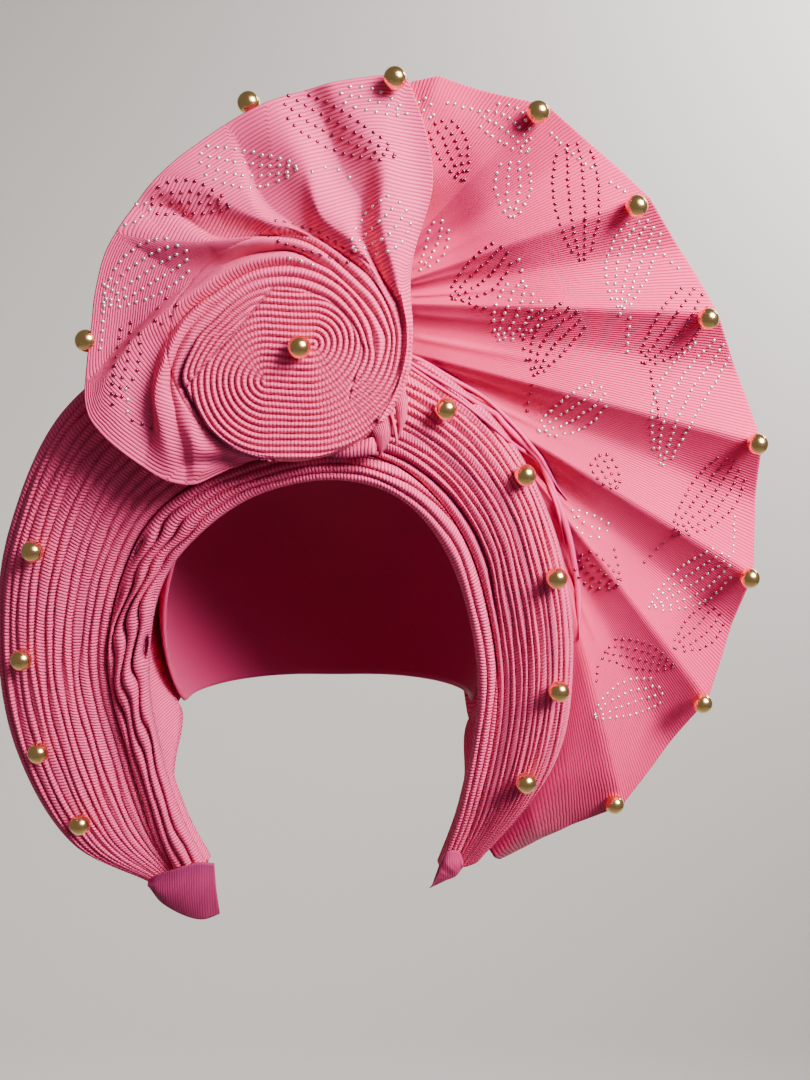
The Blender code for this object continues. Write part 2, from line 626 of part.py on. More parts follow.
def main():
    clear_scene()
    cloth = finish("pink_cloth", PINK, 0.75, 0.0)
    pleats = finish("pleated_pink_cloth", PINK, 0.7, 0.0)
    lining = finish("cap_cloth", DEEP_PINK, 0.85, 0.0)
    gold = finish("gold_bead", GOLD, 0.2, 1.0)

    head_cap(lining)
    face_band(pleats)
    brim = pleated_brim(pleats)

    # The knot and its frill lie on the foremost pleats of the brim behind them.
    x, y, z = np.array([v.co for v in brim.data.vertices]).T / MM
    across = (x - KNOT_CENTRE_X) / KNOT_HALF_WIDTH
    up = (z - KNOT_CENTRE_Z) / KNOT_HALF_HEIGHT
    foremost = y[np.hypot(across, up) < KNOT_SEAT].min()
    root_y = foremost - GAP - THIN_CLOTH_WALL
    knot = rosette_knot(pleats, root_y - GAP)
    frill = rosette_frill(cloth, root_y)
    pinched_tucks(pleats, root_y)

    fan = pleated_fan(cloth)
    folds = [fan_fold(*row, cloth) for row in FAN_FOLDS]
    jaw_tab("jaw_tab_left", JAW_TAB_LEFT, cloth)
    jaw_tab("jaw_tab_right", JAW_TAB_RIGHT, cloth)

    carriers = {"brim": surface_of(brim), "knot": surface_of(knot), "frill": surface_of(frill),
                "fan": surface_of(fan), "folds": surface_of(folds[0])}
    add_beads(carriers, gold)


main()
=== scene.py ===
"""The looks of a tied gele head tie in ribbed pink cloth, with gold beads and small stones.

Left and right are the viewer's. The pieces' tables and sizes are in millimetres in the frame of
the CAD: +X right, the front faces -Y, +Z up, and the origin is the top of the head's hollow.
"""

import math
from collections import namedtuple

import bmesh
import bpy
import numpy as np
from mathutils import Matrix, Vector
from mathutils.bvhtree import BVHTree


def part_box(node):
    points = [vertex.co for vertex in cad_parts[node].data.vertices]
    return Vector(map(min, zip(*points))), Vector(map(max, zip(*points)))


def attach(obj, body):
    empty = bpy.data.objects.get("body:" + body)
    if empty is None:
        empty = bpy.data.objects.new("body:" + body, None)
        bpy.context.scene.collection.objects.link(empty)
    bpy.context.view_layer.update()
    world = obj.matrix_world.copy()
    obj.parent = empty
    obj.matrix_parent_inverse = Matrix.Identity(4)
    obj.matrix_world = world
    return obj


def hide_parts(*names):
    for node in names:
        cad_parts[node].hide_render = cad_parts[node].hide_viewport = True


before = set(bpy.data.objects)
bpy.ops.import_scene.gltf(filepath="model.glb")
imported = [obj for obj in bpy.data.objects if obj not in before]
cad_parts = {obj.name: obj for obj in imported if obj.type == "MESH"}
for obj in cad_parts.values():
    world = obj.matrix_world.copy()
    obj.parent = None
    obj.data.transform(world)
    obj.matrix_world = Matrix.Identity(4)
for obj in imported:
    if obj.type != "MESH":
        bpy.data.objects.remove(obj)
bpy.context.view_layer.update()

MM = 0.001
FORWARDS = np.array([0.0, -1.0, 0.0])


# Camera, lights and stage, in metres

CAMERA_PLACE = (0.0365, -0.677, 0.004)
CAMERA_TILT = 84.0
CAMERA_LENS = 47.62
CAMERA_SENSOR = 36.0
FLOOR_HEIGHT = -1.7
FLOOR_STOPS = (-2.4, -1.0, 0.0)
WALL_DEPTH = 2.2
WALL_STOPS = (1.2, 2.2)
WALL_BEND = 0.35
WALL_HALF_WIDTH = 2.5
WALL_COLOUR = (0.76, 0.73, 0.70)
WALL_ROUGHNESS = 0.9
ROOM_COLOUR = (0.86, 0.82, 0.79)
ROOM_STRENGTH = 0.2

# One row for each lamp, a square whose light fans out by its spread in degrees: a soft window
# close by on the upper right, a little light from above, and one that brightens the wall.
Lamp = namedtuple("Lamp", "name place target size power colour spread")
LAMPS = (
    Lamp("window", (0.82, -0.64, 0.60), (0.35, 0, 0.18), 0.6, 12.8, (1.0, 0.97, 0.95), 70.0),
    Lamp("ceiling", (0.8, -1.2, 0.9), (0.08, 0.0, -0.05), 1.0, 8.0, (1.0, 0.98, 0.96), 180.0),
    Lamp("wall_wash", (1.7, 1.0, 1.2), (1.0, WALL_DEPTH, 0.7), 0.6, 95.0, (1.0, 0.97, 0.96), 180.0),
)


def add_camera():
    """The photograph's view: a little below the crown, looking six degrees down."""
    camera = bpy.data.cameras.new("camera")
    camera.sensor_fit = "VERTICAL"
    camera.sensor_height = CAMERA_SENSOR
    camera.lens = CAMERA_LENS
    item = bpy.data.objects.new("camera", camera)
    item.location = CAMERA_PLACE
    item.rotation_euler = (math.radians(CAMERA_TILT), 0.0, 0.0)
    bpy.context.scene.collection.objects.link(item)
    bpy.context.scene.camera = item


def add_lamp(lamp):
    """An area light at its place, turned to its target."""
    light = bpy.data.lights.new(lamp.name, "AREA")
    light.size = lamp.size
    light.energy = lamp.power
    light.color = lamp.colour
    light.spread = math.radians(lamp.spread)
    item = bpy.data.objects.new(lamp.name, light)
    item.location = lamp.place
    aim = Vector(lamp.target) - Vector(lamp.place)
    item.rotation_euler = aim.to_track_quat("-Z", "Y").to_euler()
    bpy.context.scene.collection.objects.link(item)


def add_room_light():
    """A dim pale light from all round."""
    world = bpy.data.worlds.new("room")
    world.use_nodes = True
    background = world.node_tree.nodes["Background"]
    background.inputs["Color"].default_value = (*ROOM_COLOUR, 1.0)
    background.inputs["Strength"].default_value = ROOM_STRENGTH
    bpy.context.scene.world = world


def add_backdrop():
    """A pale sheet whose profile runs along the floor, turns up through a quarter circle and
    rises as a wall, carried straight across."""
    bend = np.linspace(0, math.pi / 2, 17)
    y = np.concatenate([FLOOR_STOPS, WALL_DEPTH - WALL_BEND + WALL_BEND * np.sin(bend),
                        [WALL_DEPTH, WALL_DEPTH]])
    z = np.concatenate([np.full(len(FLOOR_STOPS), FLOOR_HEIGHT),
                        FLOOR_HEIGHT + WALL_BEND - WALL_BEND * np.cos(bend), WALL_STOPS])
    x = np.linspace(-WALL_HALF_WIDTH, WALL_HALF_WIDTH, 9)
    grid = np.stack(np.broadcast_arrays(x[:, None], y[None, :], z[None, :]), axis=-1)
    mesh = bpy.data.meshes.new("backdrop")
    ids = np.arange(grid.shape[0] * grid.shape[1]).reshape(grid.shape[:2])
    mesh.from_pydata(grid.reshape(-1, 3).tolist(), [], quads(ids).tolist())
    mesh.shade_smooth()
    mesh.materials.append(plain_material("pale_wall", WALL_COLOUR, WALL_ROUGHNESS))
    item = bpy.data.objects.new("backdrop", mesh)
    bpy.context.scene.collection.objects.link(item)


# Materials

PINK = (0.93, 0.088, 0.240)
FRILL_PINK = (0.91, 0.080, 0.225)
FAN_PINK = (0.88, 0.030, 0.150)
# The next three colours are painted shade: on the fan, in the gaps between the ribs, and in folds
# and under parts elsewhere.
FAN_PAINTED_SHADE = (0.36, 0.010, 0.070)
RIB_SHADE_PINK = (0.50, 0.038, 0.165)
PAINTED_SHADE_PINK = (0.21, 0.021, 0.092)
DEEP_PINK = (0.52, 0.035, 0.13)
EDGE_PINK = (0.80, 0.045, 0.22)
SHEEN_PINK = (1.0, 0.45, 0.62)
GOLD = (0.92, 0.61, 0.25)
STONE_ROUGHNESS = 0.22
CLOTH_SPECULAR = 0.14
CLOTH_SHEEN = 0.02
SHEEN_ROUGHNESS = 0.45
# The gold's roughness on the whole, and the factor and start of the noise that varies it.
GOLD_ROUGHNESS = 0.18
GOLD_NOISE = (0.12, 0.13)
GOLD_NOISE_SCALE = 260.0

# How far apart the ribs are, on flat cloth and on rolled pleats.
RIB_PITCH = 1.6
PLEAT_RIB_PITCH = 1.5
# How far the ribs wander, in metres, how fine the yarns are along and across the cloth, and how
# much the yarns and the larger patches lighten and darken it.
RIB_WANDER = 0.0009
YARN_SCALE = (2600.0, 900.0, 1.0)
YARN_SHADE = 0.24
YARN_RELIEF = 0.12
PATCH_SCALE = 14.0
PATCH_SHADE = 0.16


def add_node(tree, kind, **settings):
    """A node with its settings and its unlinked inputs set by name, an underscore for a space."""
    node = tree.nodes.new(kind)
    for name, value in settings.items():
        if hasattr(node, name):
            setattr(node, name, value)
        else:
            node.inputs[name.replace("_", " ")].default_value = value
    return node


def plain_material(name, colour, roughness):
    """A material of one colour and roughness, for others to start from."""
    material = bpy.data.materials.new(name)
    material.use_nodes = True
    shader = material.node_tree.nodes["Principled BSDF"]
    shader.inputs["Base Color"].default_value = (*colour, 1.0)
    shader.inputs["Roughness"].default_value = roughness
    return material


def maths(tree, operation, first, second=None):
    """A Math node whose inputs are sockets or numbers."""
    node = tree.nodes.new("ShaderNodeMath")
    node.operation = operation
    for socket, value in zip(node.inputs, (first, second)):
        if value is None:
            continue
        if isinstance(value, (int, float)):
            socket.default_value = value
        else:
            tree.links.new(value, socket)
    return node.outputs[0]


def scaled(tree, value, factor, start):
    """A socket times a factor, plus a start."""
    return maths(tree, "ADD", maths(tree, "MULTIPLY", value, factor), start)


def mixed_colour(tree, share, first, second):
    """A colour socket that goes from the first colour to the second with the share."""
    mix = tree.nodes.new("ShaderNodeMix")
    mix.data_type = "RGBA"
    tree.links.new(share, mix.inputs["Factor"])
    tree.links.new(first, mix.inputs["A"])
    tree.links.new(second, mix.inputs["B"])
    return mix.outputs["Result"]


def ribbed_cloth_group():
    """Ribs across the cloth with fine yarns along them. It puts out a colour and a height: the
    height is a rounded rib, |sin| of the distance along the cloth over the rib's pitch. The
    colour holds painted shade: darker in the gaps between the ribs, and darker still where each
    piece paints shade into its folds and under its parts."""
    tree = bpy.data.node_groups.new("ribbed_cloth", "ShaderNodeTree")
    for name, kind in (("Colour", "NodeSocketColor"), ("Rib Shade Colour", "NodeSocketColor"),
                       ("Painted Shade Colour", "NodeSocketColor"), ("Pitch", "NodeSocketFloat"),
                       ("Rib Strength", "NodeSocketFloat")):
        tree.interface.new_socket(name, in_out="INPUT", socket_type=kind)
    for name, kind in (("Colour", "NodeSocketColor"), ("Height", "NodeSocketFloat"),
                       ("Roughness", "NodeSocketFloat")):
        tree.interface.new_socket(name, in_out="OUTPUT", socket_type=kind)
    enter = tree.nodes.new("NodeGroupInput")
    leave = tree.nodes.new("NodeGroupOutput")
    place = add_node(tree, "ShaderNodeUVMap", uv_map="cloth")
    fade = add_node(tree, "ShaderNodeAttribute", attribute_name="rib_fade")
    # This attribute is painted shade: how much each piece darkens its folds, creases and the places
    # under other parts.
    deep = add_node(tree, "ShaderNodeAttribute", attribute_name="painted_shade")
    split = tree.nodes.new("ShaderNodeSeparateXYZ")
    tree.links.new(place.outputs["UV"], split.inputs[0])
    # The ribs wander a little, as woven ones do.
    wander = add_node(tree, "ShaderNodeTexNoise", Scale=90.0, Detail=2.0)
    tree.links.new(place.outputs["UV"], wander.inputs["Vector"])
    shift = maths(tree, "MULTIPLY", maths(tree, "SUBTRACT", wander.outputs["Fac"], 0.5),
                  RIB_WANDER)
    turns = maths(tree, "DIVIDE", maths(tree, "ADD", split.outputs["X"], shift),
                  enter.outputs["Pitch"])
    wave = maths(tree, "ABSOLUTE", maths(tree, "SINE", maths(tree, "MULTIPLY", turns, math.pi)))
    rib = maths(tree, "POWER", wave, 0.8)
    strength = maths(tree, "MULTIPLY", enter.outputs["Rib Strength"], fade.outputs["Fac"])
    depth = maths(tree, "MULTIPLY", maths(tree, "SUBTRACT", 1.0, rib), strength)
    # Yarns run along each rib and show as fine lighter and darker dashes.
    stretch = add_node(tree, "ShaderNodeMapping")
    stretch.inputs["Scale"].default_value = YARN_SCALE
    tree.links.new(place.outputs["UV"], stretch.inputs["Vector"])
    yarn = add_node(tree, "ShaderNodeTexNoise", Scale=1.0, Detail=1.0)
    tree.links.new(stretch.outputs[0], yarn.inputs["Vector"])
    patch_place = tree.nodes.new("ShaderNodeTexCoord")
    patch = add_node(tree, "ShaderNodeTexNoise", Scale=PATCH_SCALE, Detail=3.0)
    tree.links.new(patch_place.outputs["Object"], patch.inputs["Vector"])
    # Painted shade: the gaps between the ribs are painted darker, and the painted shade attribute
    # mixes in the darker colour of folds and shadows.
    ribbed = mixed_colour(tree, depth, enter.outputs["Colour"], enter.outputs["Rib Shade Colour"])
    with_painted_shade = mixed_colour(tree, deep.outputs["Fac"], ribbed, enter.outputs["Painted Shade Colour"])
    shade = scaled(tree, yarn.outputs["Fac"], YARN_SHADE, 1 - YARN_SHADE / 2)
    drift = scaled(tree, patch.outputs["Fac"], PATCH_SHADE, 1 - PATCH_SHADE / 2)
    lit = tree.nodes.new("ShaderNodeHueSaturation")
    tree.links.new(with_painted_shade, lit.inputs["Color"])
    tree.links.new(maths(tree, "MULTIPLY", shade, drift), lit.inputs["Value"])
    tree.links.new(lit.outputs["Color"], leave.inputs["Colour"])
    weave = maths(tree, "MULTIPLY", yarn.outputs["Fac"], YARN_RELIEF)
    tree.links.new(maths(tree, "SUBTRACT", weave, depth), leave.inputs["Height"])
    # The gaps between the ribs are rougher than the ribs.
    tree.links.new(scaled(tree, depth, 0.25, 0.5), leave.inputs["Roughness"])
    return tree


def cloth_material(name, group, colour, pitch, strength, relief, painted_shade=None):
    """Ribbed cloth from the shared group, with a soft sheen: its pitch and relief are in
    millimetres."""
    material = bpy.data.materials.new(name)
    material.use_nodes = True
    tree = material.node_tree
    shader = tree.nodes["Principled BSDF"]
    ribs = tree.nodes.new("ShaderNodeGroup")
    ribs.node_tree = group
    ribs.inputs["Colour"].default_value = (*colour, 1.0)
    # Both of these colours are painted shade, in the rib gaps and in folds and shadows.
    ribs.inputs["Rib Shade Colour"].default_value = (*RIB_SHADE_PINK, 1.0)
    ribs.inputs["Painted Shade Colour"].default_value = (*(painted_shade or PAINTED_SHADE_PINK), 1.0)
    ribs.inputs["Pitch"].default_value = pitch * MM
    ribs.inputs["Rib Strength"].default_value = strength
    bump = add_node(tree, "ShaderNodeBump", Strength=1.0, Distance=relief * MM)
    tree.links.new(ribs.outputs["Height"], bump.inputs["Height"])
    tree.links.new(ribs.outputs["Colour"], shader.inputs["Base Color"])
    tree.links.new(ribs.outputs["Roughness"], shader.inputs["Roughness"])
    tree.links.new(bump.outputs["Normal"], shader.inputs["Normal"])
    shader.inputs["Specular IOR Level"].default_value = CLOTH_SPECULAR
    shader.inputs["Sheen Weight"].default_value = CLOTH_SHEEN
    shader.inputs["Sheen Roughness"].default_value = SHEEN_ROUGHNESS
    shader.inputs["Sheen Tint"].default_value = (*SHEEN_PINK, 1.0)
    return material


def gold_material():
    """Polished gold plate, a little uneven."""
    material = plain_material("polished_gold", GOLD, GOLD_ROUGHNESS)
    tree = material.node_tree
    shader = tree.nodes["Principled BSDF"]
    shader.inputs["Metallic"].default_value = 1.0
    place = tree.nodes.new("ShaderNodeTexCoord")
    cloud = add_node(tree, "ShaderNodeTexNoise", Scale=GOLD_NOISE_SCALE, Detail=2.0)
    tree.links.new(place.outputs["Object"], cloud.inputs["Vector"])
    tree.links.new(scaled(tree, cloud.outputs["Fac"], *GOLD_NOISE), shader.inputs["Roughness"])
    return material


def stone_material(name, colour):
    """A foil-backed glass stone: a bright coloured mirror with a clear coat."""
    material = plain_material(name, colour, STONE_ROUGHNESS)
    shader = material.node_tree.nodes["Principled BSDF"]
    shader.inputs["Metallic"].default_value = 0.85
    shader.inputs["Coat Weight"].default_value = 1.0
    shader.inputs["Coat Roughness"].default_value = 0.05
    return material


# Shapes


def smooth_step(low, high, value):
    """0 below low, 1 above high, with a smooth rise between."""
    t = np.clip((value - low) / (high - low), 0.0, 1.0)
    return t * t * (3 - 2 * t)


def read_table(table, at):
    """A table of places and values, read at any places along straight lines between its rows."""
    return np.interp(at, *np.array(table, float).T)


def unit(vectors):
    """Vectors of length one, along the last axis."""
    return vectors / np.maximum(np.linalg.norm(vectors, axis=-1, keepdims=True), 1e-12)


def through(rows, at):
    """A smooth curve through rows, a Catmull-Rom spline, read at fractions of its row count."""
    rows = np.asarray(rows, float)
    at = np.asarray(at, float)
    place = np.clip(at, 0.0, 1.0) * (len(rows) - 1)
    cell = np.minimum(place.astype(int), len(rows) - 2)
    t = (place - cell)[..., None]
    before = np.concatenate([[2 * rows[0] - rows[1]], rows, [2 * rows[-1] - rows[-2]]])
    a, b, c, d = (before[cell + k] for k in range(4))
    return 0.5 * (2 * b + (c - a) * t + (2 * a - 5 * b + 4 * c - d) * t**2
                  + (3 * b - a - 3 * c + d) * t**3)


def lengths_along(points):
    """The distance along a path of points, from its start."""
    steps = np.linalg.norm(np.diff(points, axis=0), axis=-1)
    return np.concatenate([[0.0], np.cumsum(steps)])


def grid_normals(grid, ahead):
    """The unit normal at each point of a grid, turned so that they go ahead on the whole."""
    normals = unit(np.cross(np.gradient(grid, axis=0), np.gradient(grid, axis=1)))
    return normals * np.sign(np.sum(normals * ahead))


def every_few(count, kept):
    """The numbers of the rows that stay when a grid of count rows is thinned evenly."""
    return np.linspace(0, count - 1, kept).round().astype(int)


def thinned(grid, rows, columns):
    """A grid with only as many of its rows and columns, spread evenly."""
    return grid[np.ix_(every_few(grid.shape[0], rows), every_few(grid.shape[1], columns))]


def quads(ids):
    """The quads of a grid of vertex numbers."""
    corners = (ids[:-1, :-1], ids[1:, :-1], ids[1:, 1:], ids[:-1, 1:])
    return np.stack(corners, axis=-1).reshape(-1, 4)


def zip_edges(first, second):
    """Triangles between two edges of vertex numbers, each spread evenly from 0 to 1."""
    first_at = np.linspace(0, 1, len(first))
    second_at = np.linspace(0, 1, len(second))
    if len(first) < len(second):
        return zip_edges(second, first)[:, ::-1]
    # Each step on the finer edge reaches for the coarser edge's nearest corner before it.
    corner = np.clip(np.searchsorted(second_at, first_at + 1e-9) - 1, 0, len(second) - 1)
    fans = np.stack([first[:-1], first[1:], second[corner[:-1]]], axis=-1)
    moved = np.flatnonzero(corner[1:] > corner[:-1])
    bridges = np.stack([first[moved + 1], second[corner[moved + 1]], second[corner[moved]]],
                       axis=-1)
    return np.concatenate([fans, bridges])


def face_outwards(piece):
    """Turns a closed mesh's faces outwards when its signed volume is below zero."""
    mesh = piece.data
    mesh.calc_loop_triangles()
    points = np.empty(len(mesh.vertices) * 3, np.float32)
    mesh.vertices.foreach_get("co", points)
    points = points.reshape(-1, 3)
    corners = np.empty(len(mesh.loop_triangles) * 3, np.int32)
    mesh.loop_triangles.foreach_get("vertices", corners)
    a, b, c = (points[corners.reshape(-1, 3)[:, k]] for k in range(3))
    if np.sum(a * np.cross(b, c)) < 0:
        mesh.flip_normals()


def make_piece(name, points, faces, material, uv=None, fade=None, painted_shade=None, smooth=True):
    """A mesh piece from arrays: points in millimetres, faces as one or more arrays of corners,
    and for each point its place on the cloth in millimetres, how far its ribs show, and how
    much painted shade darkens it."""
    mesh = bpy.data.meshes.new(name)
    faces = [f for f in faces if len(f)]
    loops = np.concatenate([f.ravel() for f in faces]).astype(np.int32)
    totals = np.concatenate([np.full(len(f), f.shape[1]) for f in faces])
    mesh.vertices.add(len(points))
    mesh.vertices.foreach_set("co", (points * MM).astype(np.float32).ravel())
    mesh.loops.add(len(loops))
    mesh.loops.foreach_set("vertex_index", loops)
    mesh.polygons.add(len(totals))
    mesh.polygons.foreach_set("loop_start", np.concatenate([[0], np.cumsum(totals)[:-1]]))
    mesh.polygons.foreach_set("loop_total", totals)
    if uv is not None:
        layer = mesh.uv_layers.new(name="cloth")
        layer.data.foreach_set("uv", (uv[loops] * MM).astype(np.float32).ravel())
    mesh.update(calc_edges=True)
    mesh.validate()
    if uv is not None:
        for title, values in (("rib_fade", fade), ("painted_shade", painted_shade)):
            values = np.full(len(points), float(title == "rib_fade")) if values is None else values
            shown = mesh.attributes.new(title, "FLOAT", "POINT")
            shown.data.foreach_set("value", values.astype(np.float32))
    if smooth:
        mesh.shade_smooth()
    mesh.materials.append(material)
    item = bpy.data.objects.new(name, mesh)
    bpy.context.scene.collection.objects.link(item)
    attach(item, "root")
    face_outwards(item)
    return item


def wall_arrays(front, back, uv, fade=None, painted_shade=None):
    """A sheet with a wall: a front grid and a coarser back grid with the same corners, joined
    at their edges."""
    rows, columns = front.shape[:2]
    front_ids = np.arange(rows * columns).reshape(rows, columns)
    back_ids = np.arange(back.shape[0] * back.shape[1]).reshape(back.shape[:2]) + front_ids.size
    faces = [quads(front_ids), quads(back_ids)[:, ::-1],
             zip_edges(front_ids[0], back_ids[0]),
             zip_edges(front_ids[-1, ::-1], back_ids[-1, ::-1]),
             zip_edges(front_ids[::-1, 0], back_ids[::-1, 0]),
             zip_edges(front_ids[:, -1], back_ids[:, -1])]
    points = np.concatenate([front.reshape(-1, 3), back.reshape(-1, 3)])
    back_uv = thinned(uv, *back.shape[:2]).reshape(-1, 2)
    all_uv = np.concatenate([uv.reshape(-1, 2), back_uv])
    if fade is not None:
        fade = np.concatenate([fade.ravel(), thinned(fade, *back.shape[:2]).ravel()])
    # The back has no painted shade.
    if painted_shade is not None:
        painted_shade = np.concatenate([painted_shade.ravel(), np.zeros(back_ids.size)])
    return points, faces, all_uv, fade, painted_shade


def walled(name, front, back, material, uv, fade=None, painted_shade=None):
    """A piece that is one sheet with a wall."""
    points, faces, uv, fade, painted_shade = wall_arrays(front, back, uv, fade, painted_shade)
    return make_piece(name, points, faces, material, uv, fade, painted_shade)


def ruffle(place, seed, waves=5):
    """Smooth noise from -1 to 1: a sum of sines of the place with seeded turns and phases."""
    draw = np.random.default_rng(seed)
    total = sum(np.sin(place * draw.uniform(0.6, 2.4) * (k + 1) + draw.uniform(0, 6.3)) / (k + 1)
                for k in range(waves))
    return total / 1.8


def rolled(phase):
    """The height of rolled pleats from 0 to 1: the root of |sin|, with a round top and a sharp
    valley."""
    return np.abs(np.sin(math.pi * phase)) ** 0.5


# The face opening, the brim and the band

# One row for each section round the face opening, from the left jaw over the forehead to the
# right jaw: the rim on the face, the valley outside the face folds, and the brim's outer roll.
ArchSection = namedtuple("ArchSection", "rim valley outer")
ARCH = (
    ArchSection((-57, -20, -219), (-73, -19, -223), (-86, -15, -229)),
    ArchSection((-67, -28, -194), (-83, -26, -197), (-121, -26, -205)),
    ArchSection((-75, -37, -160), (-91, -35, -160), (-142, -36, -158)),
    ArchSection((-78, -46, -122), (-97, -45, -120), (-146, -45, -106)),
    ArchSection((-71, -55, -84), (-88, -55, -78), (-137, -53, -56)),
    ArchSection((-54, -63, -60), (-68, -64, -46), (-110, -59, -4)),
    ArchSection((-27, -69, -41), (-32, -71, -27), (-62, -64, 26)),
    ArchSection((6, -73, -34), (6, -74, -21), (-2, -67, 33)),
    ArchSection((34, -70, -42), (38, -72, -31), (46, -66, 15)),
    ArchSection((54, -60, -66), (62, -61, -60), (82, -61, -17)),
    ArchSection((66, -50, -102), (75, -50, -102), (105, -53, -66)),
    ArchSection((69, -42, -140), (78, -42, -142), (112, -45, -118)),
    ArchSection((62, -31, -188), (70, -31, -190), (104, -37, -168)),
    ArchSection((50, -20, -227), (57, -20, -227), (66, -22, -224)),
)

HEAD_HALVES = np.array([78.0, 98.0, 95.0])
HEAD_CENTRE = np.array([0.0, 0.0, -95.0])
CLOTH_WALL = 1.6
GAP = 0.4
BRIM_PLEATS = 13
BRIM_ROLL = 2.4
BRIM_BULGE = 7.0
BRIM_FULL_WIDTH = 47.0
# How far behind the valley the brim's back meets the cap, and where no cap is, and how far the
# outer edge reaches back before it comes in.
BRIM_SEAT = 72.0
BRIM_LOW_SEAT = 0.3 * BRIM_SEAT
BRIM_TURN = 75.0
# How far the brim swells forwards, by place across it.
BRIM_SWELL = ((0, 0), (0.15, 0.25), (0.45, 0.85), (0.7, 1), (0.88, 0.8), (1, 0))
# Where the deep gap beside the face folds lies across the brim, by place round the arch.
BRIM_GAP = ((0.50, 0.077), (0.58, 0.055), (0.62, 0.08), (0.66, 0.115), (0.70, 0.14), (0.725, 0.145),
            (0.75, 0.10), (0.79, 0.077))
# How far that gap opens, and how far the painted shadow of the folds beside the fan darkens the
# brim's edge.
GAP_DEPTH = 2.2
GAP_OPENS = ((0.52, 0), (0.6, 1), (0.74, 1), (0.78, 0))
FOLD_PAINTED_SHADOW = ((0.60, 0), (0.63, 1), (0.80, 1), (0.88, 0))
# The cloth ends a little before the arch does, under the tabs.
LAST_SECTION = 0.988
# Between these heights the seat goes over from the cap to the free hem below it.
SEAT_FADE = (-150.0, -178.0)
# The brim's grid: along the arch, across the pleats, and over its back.
BRIM_ALONG, BRIM_ACROSS, BRIM_BEHIND = 620, 132, 20


def arch(at):
    """The rim, valley and outer curves at fractions round the face opening."""
    return tuple(through([getattr(row, name) for row in ARCH], at) for name in ArchSection._fields)


def arch_frame(start, end):
    """Unit directions across the sheet from start to end, and out of its front."""
    across = unit(end - start)
    front = unit(np.cross(np.gradient(end, axis=0) + np.gradient(start, axis=0), across))
    return across, front


def reach_in(points, fallback):
    """Points seated on the cap, and fallback below the cap's edge, where no cap is."""
    outer = HEAD_HALVES + CLOTH_WALL
    ray = points - HEAD_CENTRE
    seat = ray / np.linalg.norm(ray / outer, axis=-1, keepdims=True)
    seated = HEAD_CENTRE + seat + unit(seat / outer**2) * (GAP + CLOTH_WALL)
    low = smooth_step(*SEAT_FADE, points[:, 2])[:, None]
    return seated * (1 - low) + fallback * low


def brim_base(at, place):
    """The brim without its pleats. From 0 to 1 it crosses from the valley to the outer roll,
    swelling forwards, and from 1 to 2 it turns back and comes in to the cap."""
    _, valley, outer = arch(at)
    across, front = arch_frame(valley, outer)
    width = np.linalg.norm(outer - valley, axis=-1)
    start = valley + across * GAP / 2
    q = np.clip(place, 0, 1)[None, :, None]
    size = np.clip(width / BRIM_FULL_WIDTH, 0.25, 1)[:, None]
    lift = BRIM_BULGE * size[:, None] * read_table(BRIM_SWELL, q)
    face = start[:, None] + (outer - start)[:, None] * q + lift * front[:, None]
    seat = reach_in(valley - FORWARDS * BRIM_SEAT, valley - FORWARDS * BRIM_LOW_SEAT)
    t = np.clip(place - 1, 0, 1)[None, :, None]
    turn = -front * BRIM_TURN * size
    back = (outer[:, None] * (2 * t**3 - 3 * t**2 + 1) + turn[:, None] * (t**3 - 2 * t**2 + t)
            + seat[:, None] * (3 * t**2 - 2 * t**3) + (seat - outer)[:, None] * (t**3 - t**2))
    return np.where(place[None, :, None] <= 1, face, back), front, size[:, 0]


